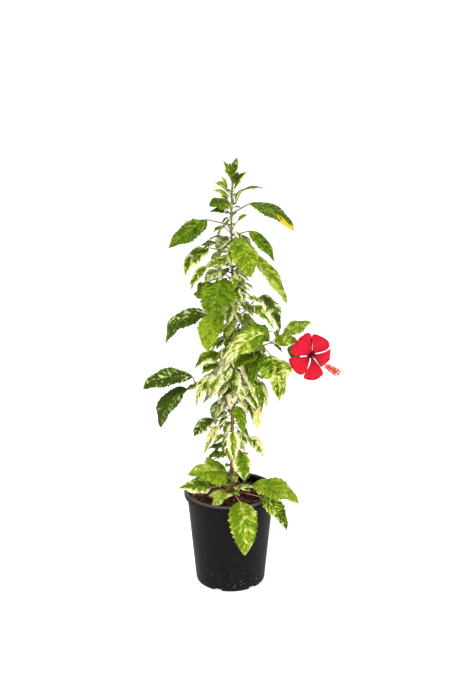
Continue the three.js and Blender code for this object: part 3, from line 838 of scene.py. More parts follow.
class Foliage:
    """Collects the blades of each leafy piece, their stalks, and where the stem bears them."""

    def __init__(self, seed):
        self.rng = np.random.default_rng(seed)
        self.blades = {name: Heap() for name in LEAF_PIECES}
        self.stalks = Heap()
        self.scars = []

    def leaf(self, piece, lines, width, grid, kind, look, fold, wave, size, skin):
        """One leaf on its stalk, with its upper face up."""
        stalk, rib, side = lines
        rib = rounded(rib, BLADE["points"])
        if side.ndim == 1:
            side = np.broadcast_to(side, rib.shape)
        else:
            side = at_shares(side, np.linspace(0, 1, len(rib)))
        face = np.cross(unit(np.gradient(rib, axis=0)), side)
        if face[: len(rib) // 2, 2].mean() < 0:
            side = -side
        self.blades[piece].add(*blade(rib, side, width, grid, kind, look, fold, wave, self.rng))
        line = rounded(stalk, STALK["points"])
        radii = np.linspace(STALK["heel"], STALK["neck"], len(line)) * MM * size
        radii[0] *= STALK["flare"]
        self.stalks.add(*tube(line, radii, STALK["sides"]), list(STALK_SKINS).index(skin))
        self.scars.append(stalk[0][2])


PAD = {"slices": 44, "neck": 6, "step": 4}  # a pad begins where it is this many millimetres across


def read_leaf(node, limb_lines):
    """A pad's stalk, midrib, left-hand ways and width, as the CAD holds them."""
    places, _ = solid_arrays(node)
    root, heel = nearest(limb_lines, places)
    middles, spans, tip = sections(node, heel, PAD["slices"])
    widths = np.linalg.norm(spans, axis=1) * 2
    first = int(np.argmax(widths > PAD["neck"] * MM))
    sides = unit(spans)
    for k in range(1, len(sides)):
        if sides[k] @ sides[k - 1] < 0:
            sides[k] *= -1
    neck = middles[max(first - 1, 0)]
    rib = np.vstack([neck, middles[first :: PAD["step"]], tip])
    return (np.array([root, (root + neck) / 2, neck]), rib, sides[first:]), widths.max()


# How far some large blades hang off their pads, to the right, back and up. Millimetres.
NUDGES = {
    "leaf_crown_4": (-1, 0, 2),
    "leaf_crown_5": (-3, 0, 2),
    "leaf_shoulder_1": (0, 0, 1),
    "leaf_shoulder_3": (1, 0, -6),
    "leaf_middle_5": (0, 0, 3),
    "leaf_shoot_1": (-7, 0, 0),
    "leaf_branch_1": (-6, 0, -3),
    "leaf_heart_2": (-7, 0, -6),
    "leaf_left_1": (4, 0, 3),
    "leaf_left_2": (2, 0, -1),
    "leaf_waist_6": (-6, 0, 1),
    "leaf_waist_7": (4, 0, 0),
}


def grow_large(foliage, limb_lines):
    """The large leaves, each on its pad, with its tip hanging a little."""
    for node, (look, kind, broad, fold, wave) in LARGE.items():
        lines, width = read_leaf(node, limb_lines)
        stalk, rib, _ = lines
        skin = skin_at(stalk[0][2], foliage.rng)
        nudge = np.array(NUDGES.get(node, (0, 0, 0))) * MM
        rib += nudge
        stalk[1:] += nudge * np.array([[0.5], [1.0]])
        past = np.clip((np.linspace(0, 1, len(rib)) - HOOK["from"]) / HOOK["over"], 0, 1)
        rib[:, 2] -= HOOK["drop"] * np.linalg.norm(rib[-1] - rib[0]) * past**2
        piece = piece_of(node, "large")
        foliage.leaf(piece, lines, width * broad, LARGE_GRID, kind, look, fold, wave, 1.0, skin)


# The small leaves that give each tuft its shape, most of them in front: height on the stem, the
# stalk's heading, length and lift, then the blade's turn from it, length, fall, width and roll, and
# its look. Millimetres and degrees.
FRONT = {
    "tuft_tip": [
        (866, -135, 9, 63, -27, 39, 62, 13, -30, "bud"),
        (867, -56, 9, 66, 44, 41, 75, 14, 30, "bud"),
        (865, -110, 11, 45, -6, 30, 80, 16, 0, "green"),
        (863, -122, 13, 43, -7, 26, 42, 13, -50, "bud"),
        (865, -63, 11, 52, 18, 27, 55, 14, 50, "bud"),
        (868, 60, 9, 60, 0, 38, 66, 17, 0, "bud"),
        (866, 140, 10, 55, 0, 34, 58, 17, 0, "bud"),
        (862, 100, 12, 45, 0, 30, 45, 16, 0, "young"),
        (847, -34, 11, 49, 20, 38, 49, 15, 55, "bud"),
        (841, -50, 10, 40, 10, 28, 44, 14, 50, "rimmed"),
        (845, -147, 12, 23, -4, 30, 61, 13, -50, "young"),
        (841, -139, 15, 36, -14, 29, 34, 12, -55, "young"),
        (833, -139, 13, 22, -19, 32, 19, 13, -45, "young"),
        (836, -115, 10, 30, 0, 24, 20, 15, -50, "lime"),
        (850, 70, 12, 40, 0, 36, 40, 15, 0, "green"),
        (838, 160, 13, 30, 0, 34, 30, 15, 0, "young"),
    ],
    "tuft_crown": [
        (795, -157, 20, 49, -4, 33, -10, 19, 0, "green"),
        (765, -57, 34, 45, 27, 25, 29, 14, 45, "fresh"),
        (759, -127, 30, 35, -16, 28, -17, 22, 0, "green"),
        (806, -100, 8, 50, 0, 20, 45, 10, 0, "young"),
        (790, -165, 6, 40, 0, 20, -40, 12, 0, "green"),
        (735, -168, 30, 15, 0, 36, -10, 19, -15, "deep"),
        (812, -60, 10, 50, 0, 28, 70, 13, 50, "fresh"),
        (816, -40, 13, 35, 0, 33, 60, 16, 40, "rimmed"),
        (800, -160, 14, 20, 8, 36, 2, 13, -50, "deep"),
    ],
    "tuft_shoulder": [
        (714, -133, 34, 36, -14, 33, 32, 14, 0, "young"),
        (714, -140, 14, 60, 0, 32, 20, 18, 0, "young"),
        (720, -118, 16, 50, 0, 32, -5, 19, 0, "mottled"),
        (720, -96, 16, 20, 0, 30, -50, 17, 0, "young"),
        (706, -150, 18, 30, 0, 32, -15, 18, 0, "young"),
        (704, -70, 18, 20, 0, 30, -30, 14, 0, "grey"),
        (692, -30, 14, 20, 0, 34, -35, 16, 0, "grey"),
        (690, -45, 26, 10, 0, 38, -30, 18, 0, "mottled"),
        (684, -60, 12, 10, 0, 28, -45, 17, 0, "edged"),
        (678, -60, 22, 10, 20, 34, -25, 16, 0, "edged"),
        (690, -125, 14, 10, 0, 28, -40, 16, 0, "grey"),
        (700, -130, 14, 30, 0, 32, -30, 18, 0, "creamy"),
        (738, -152, 36, 12, 0, 32, -22, 14, -25, "deep"),
        (668, -150, 12, 10, 0, 30, -35, 17, 0, "grey"),
    ],
    "tuft_middle": [
        (622, -55, 32, 41, 15, 26, -12, 21, 0, "creamy"),
        (631, -43, 30, 42, 28, 22, -15, 17, 0, "mottled"),
        (614, -76, 35, 44, 8, 28, -40, 17, 0, "creamy"),
        (600, -91, 14, 13, 55, 40, -54, 22, 0, "rimmed"),
        (608, -40, 20, 20, 0, 26, -30, 14, 0, "mottled"),
        (640, -60, 24, 40, 0, 26, 0, 14, 0, "grey"),
        (640, -48, 24, 30, 0, 38, -70, 21, 0, "edged"),
        (626, -80, 16, 0, 0, 30, -60, 16, 0, "young"),
        (608, -110, 16, 10, 0, 42, -55, 25, 0, "edged"),
        (645, -94, 10, 0, 0, 34, -66, 18, 0, "mottled"),
        (655, -28, 26, 14, 0, 26, -30, 16, 0, "grey"),
        (621, -22, 34, 18, 0, 30, -20, 15, 30, "mottled"),
    ],
    "tuft_branch": [
        (560, -70, 26, 20, 0, 40, -50, 22, 0, "lime"),
        (552, -110, 22, 0, 0, 36, -40, 20, 0, "mottled"),
        (545, -100, 24, 10, 0, 36, -55, 20, 0, "green"),
        (535, -60, 22, 10, 0, 36, -50, 20, 0, "mottled"),
        (520, -120, 30, 20, 0, 34, -50, 18, 0, "edged"),
        (500, -125, 24, 20, 0, 36, -20, 20, 0, "creamy"),
        (590, -96, 10, 0, 0, 34, -64, 18, 0, "creamy"),
        (555, -30, 44, 14, 0, 30, -45, 18, 0, "mottled"),
        (575, -38, 40, 16, 0, 34, -40, 18, 0, "lime"),
        (540, -135, 26, 10, 0, 34, -35, 20, 0, "mottled"),
        (556, -20, 86, 4, 0, 34, -58, 24, 0, "fresh"),
    ],
    "tuft_heart": [
        (415, -40, 71, -11, -75, 46, -77, 22, 0, "golden"),
        (414, -98, 41, 42, -43, 32, -35, 21, 0, "deep"),
        (440, -120, 34, 20, 0, 44, -40, 24, 0, "creamy"),
        (470, -110, 34, 30, 0, 40, -45, 22, 0, "mottled"),
        (478, -158, 38, 15, 0, 42, -25, 25, -15, "fresh"),
        (466, -150, 42, 0, 0, 38, -40, 22, -15, "creamy"),
        (480, -115, 26, 10, 0, 38, -30, 24, 0, "creamy"),
        (445, -20, 52, 5, 0, 54, -68, 20, 0, "creamy"),
        (430, -35, 34, 0, 0, 46, -70, 20, 0, "edged"),
        (425, -150, 40, 10, 0, 44, -35, 22, 0, "edged"),
        (400, -140, 36, 5, 0, 34, -30, 20, 0, "grey"),
        (402, -160, 14, 10, 0, 44, -22, 19, -20, "green"),
        (455, -60, 30, 10, 0, 40, -55, 22, 0, "creamy"),
        (395, -60, 26, 0, 0, 30, -50, 16, 0, "creamy"),
        (512, -88, 12, 0, 0, 36, -62, 20, 0, "creamy"),
        (468, -100, 12, 0, 0, 36, -62, 20, 0, "blushed"),
        (440, -84, 12, 0, 0, 34, -64, 19, 0, "mottled"),
        (455, -18, 58, 0, 0, 60, -74, 20, 0, "creamy"),
        (430, -24, 44, 0, 0, 50, -72, 18, 0, "blushed"),
        (500, -165, 40, 5, 0, 40, -40, 22, -10, "mottled"),
        (440, -165, 36, 5, 0, 46, -55, 22, 0, "creamy"),
        (420, -120, 10, 0, 0, 30, -50, 18, 0, "edged"),
        (478, -20, 60, 0, 0, 34, -50, 22, 0, "mottled"),
        (398, -25, 44, 0, 0, 44, -74, 19, 0, "creamy"),
        (420, -14, 62, 0, 0, 46, -78, 16, 0, "creamy"),
    ],
    "tuft_waist": [
        (389, -133, 24, 20, 0, 32, -30, 18, 0, "creamy"),
        (383, -155, 14, -10, 0, 34, -25, 24, -20, "creamy"),
        (304, -136, 22, 11, -24, 38, -5, 24, 0, "green"),
        (286, -122, 34, 20, -36, 38, -15, 24, 0, "green"),
        (281, -110, 42, 41, 50, 34, -58, 18, 0, "creamy"),
        (312, -20, 20, 10, 0, 36, 5, 18, 0, "green"),
        (290, -140, 14, 20, 0, 32, -30, 17, 0, "young"),
        (330, -60, 20, 20, 0, 26, -40, 14, 0, "creamy"),
        (310, -80, 24, 20, 0, 30, -55, 16, 0, "mottled"),
        (318, -125, 16, 10, 0, 30, -45, 17, 0, "young"),
        (300, -58, 18, 10, 0, 48, -66, 20, 0, "creamy"),
        (322, -50, 22, 8, 0, 34, -52, 17, 0, "blushed"),
        (372, -140, 16, 0, 0, 34, -40, 18, 0, "edged"),
        (356, -120, 14, 0, 0, 32, -50, 17, 0, "mottled"),
    ],
    "tuft_foot": [
        (195, -118, 32, 45, 0, 22, 33, 17, 0, "creamy"),
        (216, -50, 18, 60, 10, 38, 52, 19, 0, "bright"),
        (206, -50, 30, 20, 20, 34, 10, 20, 0, "creamy"),
        (205, -70, 22, 30, 0, 26, 0, 18, 0, "young"),
        (196, -79, 36, 25, 40, 16, -30, 16, 0, "lime"),
        (220, -100, 26, 40, 0, 24, 20, 16, 0, "grey"),
        (212, -75, 10, 40, 0, 26, 30, 14, 0, "lime"),
        (218, -130, 12, 50, 0, 24, 30, 14, 0, "lime"),
        (224, -155, 10, 30, 0, 50, -5, 38, 0, "bright"),
        (240, -118, 6, 0, 0, 36, -45, 32, 0, "grey"),
        (206, -32, 32, 28, 0, 36, 52, 20, 30, "fresh"),
        (212, -48, 22, 15, 0, 36, -4, 26, 0, "mottled"),
    ],
}

# Small leaves on the shoots: the shoot and the share of its length, then as above.
ON_SHOOTS = [
    ("flower_branch", 0.72, 150, 6, 60, 0, 28, 66, 13, 0, "young"),
    ("flower_branch", 0.8, -100, 6, -20, 0, 24, -40, 13, 0, "mottled"),
    ("flower_branch", 0.97, -5, 8, 10, 0, 52, 2, 28, 55, "lime"),
    ("flower_branch", 0.99, -30, 6, -10, 0, 26, -40, 14, 0, "green"),
    ("leaf_twig", 0.4, 60, 4, 50, 0, 24, 50, 11, 0, "young"),
    ("upper_shoot", 0.35, 5, 4, -10, 0, 36, 2, 20, 45, "young"),
    ("upper_shoot", 0.7, 10, 4, 10, 0, 30, -8, 17, 45, "deep"),
    ("left_shoot", 0.92, -150, 6, 20, 0, 26, -15, 17, -20, "mottled"),
    ("left_shoot", 0.7, -130, 8, 20, 0, 28, -30, 17, 0, "fresh"),
    ("left_shoot", 0.5, -120, 8, 10, 0, 30, -30, 19, 0, "creamy"),
    ("left_shoot", 0.75, 170, 5, 20, 0, 24, 5, 14, -50, "blushed"),
]

# The rest of each tuft, grown by rule: its lowest and highest leaf, how many, how far the tips reach
# from the stem to the right, back, left and front, the blades' mean fall, its looks and its seed.
TUFTS = {
    "tuft_crown": (764, 824, 6, (24, 80, 26, 22), 5, "fresh green", 10),
    "tuft_shoulder": (672, 762, 18, (48, 96, 50, 40), -28, "green mottled edged creamy", 1),
    "tuft_middle": (590, 668, 18, (40, 100, 66, 44), -40, "lime mottled young creamy", 1),
    "tuft_branch": (512, 586, 16, (60, 98, 62, 48), -45, "bright edged lime mottled", 3),
    "tuft_heart": (404, 508, 28, (72, 98, 72, 52), -48, "edged mottled creamy blushed creamy", 5),
    "tuft_waist": (288, 398, 20, (46, 90, 46, 36), -42, "edged creamy young mottled", 5),
    "tuft_foot": (206, 272, 12, (44, 88, 50, 40), -10, "lime edged young mottled", 1),
}
RULE = {  # angles in degrees, and shares of a leaf's length
    "golden": 137.5,
    "first": 40,
    "stalk": 0.5,
    "width": 0.52,
    "lift": 28,
    "flattest": 0.4,
    "size_spread": 0.16,
    "heading_spread": 8,
    "fall_spread": 14,
    "lift_spread": 10,
    "turn_spread": 15,
    "roll_spread": 22,
    "behind": (25, 155),  # the headings of leaves on the far side
    "looks_behind": "fresh rimmed flecked bright mottled",
}
SMALL = {"bend": 25, "steps": 10, "sag": 0.06, "broad": 40, "fold": (8, 10), "wave": 0.9}
SEEDS = {"large": 11, "front": 20, "shoots": 40, "bloom": 5, "mix": 3}
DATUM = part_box("pot")[1].z - 203 * MM  # heights on the plant are counted with the pot's rim at 203


def leaf_line(root, heading, stalk, lift, turn, length, fall, roll):
    """The stalk, midrib and left-hand way of a leaf that bends down as it goes."""
    neck = root + direction(heading, lift) * stalk
    heading += turn
    steps = SMALL["steps"]
    rib = [neck]
    for k in range(steps):
        pitch = fall + SMALL["bend"] * (1 - 2 * (k + 0.5) / steps)
        rib.append(rib[-1] + direction(heading, pitch) * (length / steps))
    axis = direction(heading, fall)
    side = direction(heading + 90, 0)
    up = np.cross(axis, side)
    side = side * math.cos(math.radians(roll)) + up * math.sin(math.radians(roll))
    middle = (root + neck) / 2 + UP * stalk * SMALL["sag"]
    return np.array([root, middle, neck]), np.array(rib), side


def on_stem(stem_line, height):
    """The middle of the stem at a height above the datum, in millimetres."""
    z = height * MM + DATUM
    return np.array([np.interp(z, stem_line[:, 2], stem_line[:, i]) for i in (0, 1)] + [z])


def add_small(foliage, tuft, lines, width, look):
    """One small leaf, with a stalk as thick as its size asks for."""
    rng = foliage.rng
    size = 0.5 + 0.5 * min(width / (SMALL["broad"] * MM), 1)
    fold = SMALL["fold"][0] + SMALL["fold"][1] * rng.random()
    skin = skin_at(lines[0][0][2], rng)
    kind = "slim" if tuft == "tuft_tip" else ("ovate", "oval")[rng.integers(2)]
    piece = piece_of(tuft, "small")
    foliage.leaf(piece, lines, width, SMALL_GRID, kind, look, fold, SMALL["wave"], size, skin)


def add_row(foliage, tuft, root, row):
    """One small leaf from its row in a table."""
    heading, stalk, lift, turn, length, fall, width, roll, look = row
    lines = leaf_line(root, heading, stalk * MM, lift, turn, length * MM, fall, roll)
    add_small(foliage, tuft, lines, width * MM, look)


def grow_tuft(foliage, tuft, stem_line, heading):
    """The leaves that a tuft has by rule, in a spiral up the stem. It gives the last one's heading."""
    low, high, count, reaches, mean_fall, looks, seed = TUFTS[tuft]
    rng = foliage.rng = np.random.default_rng(seed)
    for k in range(count):
        heading = (heading + RULE["golden"] + rng.normal() * RULE["heading_spread"]) % 360
        reach = np.interp(heading, [0, 90, 180, 270, 360], [*reaches, reaches[0]]) * MM
        reach *= 1 - RULE["size_spread"] * 2 * rng.random()
        fall = mean_fall + rng.normal() * RULE["fall_spread"]
        lift = RULE["lift"] + rng.normal() * RULE["lift_spread"]
        flat = max(math.cos(math.radians(fall)), RULE["flattest"])
        length = reach / (RULE["stalk"] * math.cos(math.radians(lift)) + flat)
        root = on_stem(stem_line, low + (high - low) * (k + 0.5) / count)
        turn, roll = rng.normal() * RULE["turn_spread"], rng.normal() * RULE["roll_spread"]
        lines = leaf_line(root, heading, length * RULE["stalk"], lift, turn, length, fall, roll)
        behind = RULE["behind"][0] < heading < RULE["behind"][1]
        shown = (RULE["looks_behind"] if behind else looks).split()
        add_small(foliage, tuft, lines, length * RULE["width"], shown[rng.integers(len(shown))])
    return heading


def grow_small(foliage, limbs):
    """The small leaves: those of the tables first, then those that grow by rule."""
    stem_line = limbs["stem"][0]
    for number, (tuft, rows) in enumerate(FRONT.items()):
        foliage.rng = np.random.default_rng(SEEDS["front"] + number)
        for height, *row in rows:
            add_row(foliage, tuft, on_stem(stem_line, height), row)
    foliage.rng = np.random.default_rng(SEEDS["shoots"])
    for limb, share, *row in ON_SHOOTS:
        add_row(foliage, "tuft_branch", at_shares(limbs[limb][0], [share])[0], row)
    heading = RULE["first"]
    for tuft in TUFTS:
        heading = grow_tuft(foliage, tuft, stem_line, heading)


def make_foliage(limbs):
    """All the leaves, and where their stalks leave the stem."""
    foliage = Foliage(SEEDS["large"])
    shares = np.linspace(0, 1, CARRIER_POINTS)
    grow_large(foliage, np.vstack([at_shares(line, shares) for line, _ in limbs.values()]))
    grow_small(foliage, limbs)
    skins = leaf_materials()
    for name, slot in LEAF_PIECES.items():
        size = name.split("_")[1]
        grown = LARGE if size == "large" else FRONT
        piece = foliage.blades[name].piece(name, skins)
        thicken(piece, BLADE["thickness"] * MM, len(TONES))
        finish_piece(piece, [node for node in grown if piece_of(node, size) == name], smooth=50)
    stalk_skins = [stalk_material(name, colour) for name, colour in STALK_SKINS.items()]
    finish_piece(foliage.stalks.piece("leaf_stalks", stalk_skins), [], smooth=60)
    return foliage.scars


# ---- bloom ----

BLOOM = {"heading": -72, "pitch": -5, "calyx": 24}  # degrees, and the calyx's depth in millimetres
PETALS = (  # heading about the axis in degrees, then length and width in millimetres
    (1, 47, 44),
    (76, 49, 52),
    (150, 54, 55),
    (229, 54, 43),
    (294, 61, 42),
)
PETAL = {  # degrees, millimetres and shares of the half width
    "grid": (30, 24),
    "claw": 1.42,  # the higher, the narrower the claw
    "brow": 3.8,  # the higher, the blunter the brim
    "fullest": 0.55,
    "least": (0.1, 0.05),  # the half width is never less, at the heel and at the brim
    "rise": 12,  # the mean pitch
    "opening": 50,  # steeper than that in the throat and flatter at the brim
    "ruffle": 2.4,
    "overlap": 0.16,
    "cup": 0.35,
    "curl": 0.7,
    "throat": 1.2,
    "sunk": 4,
    "thickness": 0.4,
}
RUFFLES = (7.5, 13, 9)  # radians of wave across a petal twice, then along it
PLEATS = ((0.12, 70), (0.5, 19))  # depth in millimetres, and radians of wave across
COLUMN = {  # millimetres and degrees, and how thick its foot and its end are beside its middle
    "straight": 30,
    "turned": 54,
    "heading": -40,
    "pitch": -19,
    "radius": 1.1,
    "foot": 1.3,
    "end": 0.7,
    "sunk": 6,
    "points": 40,
    "sides": 10,
}
STAMENS = {  # shares of the column, radians from one to the next, and millimetres
    "count": 160,
    "first": 0.65,
    "run": 0.33,
    "turn": 2.4,
    "reach": (4.0, 3.0, 3.0),  # the least, how much it grows towards the tip, and how uneven it is
    "spread": 0.9,
    "lean": (0.25, 0.3),
    "thread": 0.34,
    "anther": (1.05, 0.3),
}
# The knee and the end of a stigma: how far on and how far out they lie. Millimetres.
STIGMAS = {"count": 5, "knee": (4, 1), "end": (5, 6.5), "thread": 0.5, "pad": 1.6}
COLUMN_SKINS = {  # colour and roughness
    "column_skin": ("#8a0c20", 0.5),
    "stamen_thread": ("#e64440", 0.5),
    "anther_dust": ("#f0644a", 0.8),
    "stigma_velvet": ("#80081e", 0.7),
}
# The calyx: a row of lobes and a row of bracts. Count, length, width, spread in degrees, radius at
# the foot, how much of the ring one may fill, and colour. Millimetres.
CALYX = {
    "calyx_skin": (5, 26, 13, 24, 2.2, 0.75, "#7f9c3a"),
    "bract_skin": (7, 13, 2.6, 46, 2.0, 0.4, "#5f7d28"),
}
CALYX_GRID = (8, 4)
LOBE = {  # degrees, millimetres and shares
    "turn": 20,
    "flare": (0.35, 0.65),
    "fullness": 1.15,
    "taper": 2.2,
    "least": 0.05,
    "thickness": 0.6,
    "hollow": 0.1,  # keeps a lobe's heel from closing on the axis
}


def petal_outline(along):
    """A petal's half width: a narrow claw that opens into a broad, round fan."""
    along = np.clip(along, 0, 1)
    return along ** PETAL["claw"] * np.sqrt(1 - along ** PETAL["brow"]) / PETAL["fullest"]


def petal(heap, centre, turned, heading, length, width, rng):
    """One ruffled petal that rises from the throat, opens and curls back, its left edge in front."""
    rows, columns = PETAL["grid"]
    s = np.sin(np.linspace(0, math.pi / 2, rows + 1))
    v = np.sin(np.linspace(-math.pi / 2, math.pi / 2, columns + 1))
    pitch = np.radians(PETAL["rise"] + PETAL["opening"] * (1 - 2 * s))
    steps = np.diff(s, prepend=0.0)
    out, rise = np.cumsum(np.cos(pitch) * steps), np.cumsum(np.sin(pitch) * steps)
    S, V = np.meshgrid(s, v, indexing="ij")
    least = PETAL["least"][0] * (1 - S) + PETAL["least"][1] * S
    half = width * MM / 2 * np.maximum(petal_outline(S), least)
    phase = rng.random(3) * PHASE
    ruffle = np.sin(V * RUFFLES[0] + phase[0]) * S**3 + 0.6 * np.sin(V * RUFFLES[1] + phase[1]) * S**5
    ruffle += 0.5 * np.sin(S * RUFFLES[2] + phase[2]) * np.abs(V) ** 3
    (fine, close), (deep, wide) = PLEATS
    pleat = fine * np.sin(V * close) * np.sin(math.pi * S) + deep * np.sin(V * wide) * S * (1 - S)
    lift = (PETAL["ruffle"] * ruffle + pleat) * MM + V * half * PETAL["overlap"]
    lift = lift + half * V**2 * (PETAL["cup"] - PETAL["curl"] * S)
    r = np.broadcast_to(out[:, None] * length * MM + PETAL["throat"] * MM, S.shape)
    up = rise[:, None] * length * MM + lift - PETAL["sunk"] * MM
    h = math.radians(heading)
    x = r * math.cos(h) - V * half * math.sin(h)
    y = r * math.sin(h) + V * half * math.cos(h)
    local = np.stack([x, y, up], -1).reshape(-1, 3)
    spots = np.stack([V.ravel() * 0.5 + 0.5, S.ravel()], 1)
    heap.add(local @ turned.T + centre, grid_faces(rows, columns), 0, spots)


def ball(centre, radius):
    """A small eight-sided bead."""
    corners = np.array([(1, 0, 0), (0, 1, 0), (-1, 0, 0), (0, -1, 0), (0, 0, 1), (0, 0, -1)], float)
    upper = [(k, (k + 1) % 4, 4, 4) for k in range(4)]
    lower = [((k + 1) % 4, k, 5, 5) for k in range(4)]
    return corners * radius + centre, np.array(upper + lower)


def make_petals(centre, turned, rng):
    """The five petals, as one piece with its own map for the veins."""
    heap = Heap()
    for heading, length, width in PETALS:
        petal(heap, centre, turned, heading, length, width, rng)
    piece = heap.piece("petals", [petal_material()], "petal")
    thicken(piece, PETAL["thickness"] * MM, 0)
    finish_piece(piece, ["bloom"], smooth=70)


def grow_stamens(heap, line, ways, rng):
    """Threads that stand out round the outer third of the column, each with its anther."""
    count, reaches, leans = STAMENS["count"], STAMENS["reach"], STAMENS["lean"]
    for k in range(count):
        share = STAMENS["first"] + STAMENS["run"] * (k / count)
        spot, way = at_shares(line, [share])[0], at_shares(ways, [share])[0]
        side = unit(np.cross(way, UP))
        turn = k * STAMENS["turn"]
        spoke = side * math.cos(turn) + np.cross(way, side) * math.sin(turn)
        reach = (reaches[0] + reaches[1] * k / count + reaches[2] * rng.random()) * MM
        end = spot + (spoke * STAMENS["spread"] + way * (leans[0] + leans[1] * rng.random())) * reach
        thread = np.array([spot, (spot + end) / 2, end])
        heap.add(*tube(thread, [STAMENS["thread"] * MM] * 3, sides=4), 1)
        heap.add(*ball(end, (STAMENS["anther"][0] + STAMENS["anther"][1] * rng.random()) * MM), 2)


def grow_stigmas(heap, tip, way):
    """The five velvety pads that branch off at the column's tip."""
    side = unit(np.cross(way, UP))
    other = np.cross(way, side)
    (knee_rise, knee_out), (rise, out) = STIGMAS["knee"], STIGMAS["end"]
    for k in range(STIGMAS["count"]):
        turn = 2 * math.pi * k / STIGMAS["count"]
        spoke = side * math.cos(turn) + other * math.sin(turn)
        knee = tip + way * knee_rise * MM + spoke * knee_out * MM
        end = tip + (way * rise + spoke * out) * MM
        heap.add(*tube(np.array([tip, knee, end]), [STIGMAS["thread"] * MM] * 3, sides=6), 3)
        heap.add(*ball(end, STIGMAS["pad"] * MM), 3)


def make_column(centre, axis, rng):
    """The column, which turns aside at its knee, with its stamens and stigmas."""
    knee = centre + axis * COLUMN["straight"] * MM
    tip = knee + direction(COLUMN["heading"], COLUMN["pitch"]) * COLUMN["turned"] * MM
    heel = centre - axis * COLUMN["sunk"] * MM
    line = rounded(np.array([heel, centre, knee, tip]), COLUMN["points"])
    heap = Heap()
    foot, end = COLUMN["radius"] * COLUMN["foot"], COLUMN["radius"] * COLUMN["end"]
    heap.add(*tube(line, np.linspace(foot, end, len(line)) * MM, COLUMN["sides"]), 0)
    ways = unit(np.gradient(line, axis=0))
    grow_stamens(heap, line, ways, rng)
    grow_stigmas(heap, line[-1], ways[-1])
    skins = [flower_part_material(name, *look) for name, look in COLUMN_SKINS.items()]
    finish_piece(heap.piece("flower_column", skins), [], smooth=60)


def make_calyx(rear, turned):
    """The green cup behind the petals: five pointed lobes, and seven thin bracts under them."""
    heap = Heap()
    rows, columns = CALYX_GRID
    s, v = np.linspace(0, 1, rows + 1), np.linspace(-1, 1, columns + 1)
    V = np.meshgrid(s, v, indexing="ij")[1]
    for tone, (count, length, width, spread, radius, most, _) in enumerate(CALYX.values()):
        flare = np.radians(90 - spread * (LOBE["flare"][0] + LOBE["flare"][1] * s[1:]))
        out = radius * MM + np.concatenate([[0], np.cumsum(np.cos(flare))]) / rows * length * MM
        rise = np.concatenate([[0], np.cumsum(np.sin(flare))]) / rows * length * MM
        half = width * MM / 2 * np.clip(LOBE["fullness"] * (1 - s ** LOBE["taper"]), LOBE["least"], 1)
        half = np.minimum(half, (out + radius * MM) * most)
        fan = V * (half / (out + LOBE["hollow"] * MM))[:, None]
        for k in range(count):
            around = math.radians(360 * k / count + LOBE["turn"]) + fan
            x, y = np.cos(around) * out[:, None], np.sin(around) * out[:, None]
            z = np.broadcast_to(rise[:, None], V.shape)
            local = np.stack([x, y, z], -1).reshape(-1, 3)
            heap.add(local @ turned.T + rear, grid_faces(rows, columns), tone)
    skins = [flower_part_material(name, row[-1]) for name, row in CALYX.items()]
    piece = heap.piece("calyx", skins)
    thicken(piece, LOBE["thickness"] * MM, 0)
    finish_piece(piece, [], smooth=60)


def make_bloom(limbs):
    """Petals, column and calyx, on the end of the flower stalk."""
    axis = direction(BLOOM["heading"], BLOOM["pitch"])
    turned = np.array(Vector(UP).rotation_difference(Vector(axis)).to_matrix())
    rear = limbs["flower_stalk"][0][-1]
    centre = rear + axis * BLOOM["calyx"] * MM
    rng = np.random.default_rng(SEEDS["bloom"])
    make_petals(centre, turned, rng)
    make_column(centre, axis, rng)
    make_calyx(rear, turned)


# ---- pot ----

POT = {  # millimetres, counts, and a share of the foot's radius
    "sides": 96,
    "rings": 14,
    "wall": 1.8,
    "lip_depth": 13,
    "lip_edge": 2.6,
    "corner": 3.0,
    "foot_in": 9,
    "foot_up": 7,
    "foot_out": 2.5,  # how far the rounded foot stands out past its underside
    "middle": 0.2,
}
NOTCH = {"count": 6, "width": 17, "height": 5.5, "depth": 40, "first": -111, "edge": 1.5}


def raise_rings(name, rings):
    """A round shell drawn up ring by ring from its first, with its two ends filled."""
    shell = begin_disc(name, POT["sides"], rings[0][0], (0, 0, rings[0][1]))
    for (old, low), (new, high) in zip(rings, rings[1:], strict=False):
        bpy.ops.mesh.extrude_region_move(TRANSFORM_OT_translate={"value": (0, 0, high - low)})
        bpy.ops.transform.resize(value=(new / old, new / old, 1), center_override=(0, 0, high))
    end_solid()
    return shell


def pot_rings(foot, body, rim, height):
    """The pot's profile, from the middle of its underside out, up and down again. Millimetres."""
    wall, edge, corner = POT["wall"], POT["lip_edge"], POT["corner"]
    lip_low = height - POT["lip_depth"]
    floor = POT["foot_up"] + wall

    def side(z):
        return foot + (body - foot) * z / lip_low

    underside = [
        (foot * POT["middle"], POT["foot_up"]),
        (foot - POT["foot_in"], POT["foot_up"]),
        (foot - POT["foot_in"] + 1.5, 0.3),  # the inner edge of the ring it stands on
        (foot - corner, 0),
        (foot - corner * 0.3, corner * 0.3),
        (side(corner), corner),
    ]
    wall_rings = [(side(z), z) for z in np.linspace(corner + 6, lip_low - 4, POT["rings"])]
    lip = [
        (body, lip_low),
        (body + 0.4, lip_low + 1.2),  # a small step, where the lip leaves the wall
        (rim - 1.6, lip_low + 0.2),
        (rim - 0.3, lip_low + 1.2),
        (rim, lip_low + 3),  # its rounded lower edge ends here
        (rim, height - edge),
        (rim - edge * 0.3, height - edge * 0.3),
        (rim - edge, height),
        (body + 0.6, height),  # and here its top turns down inside
        (body - wall * 0.7, height - edge * 0.4),
        (body - wall, height - edge),
    ]
    inside = [
        (side(lip_low) - wall, lip_low),
        (side(lip_low * 0.5) - wall, lip_low * 0.5),
        (side(floor + 3) - wall, floor + 3),
        (side(floor) - wall - 3, floor),
        (foot * POT["middle"], floor),
    ]
    return underside + wall_rings + lip + inside


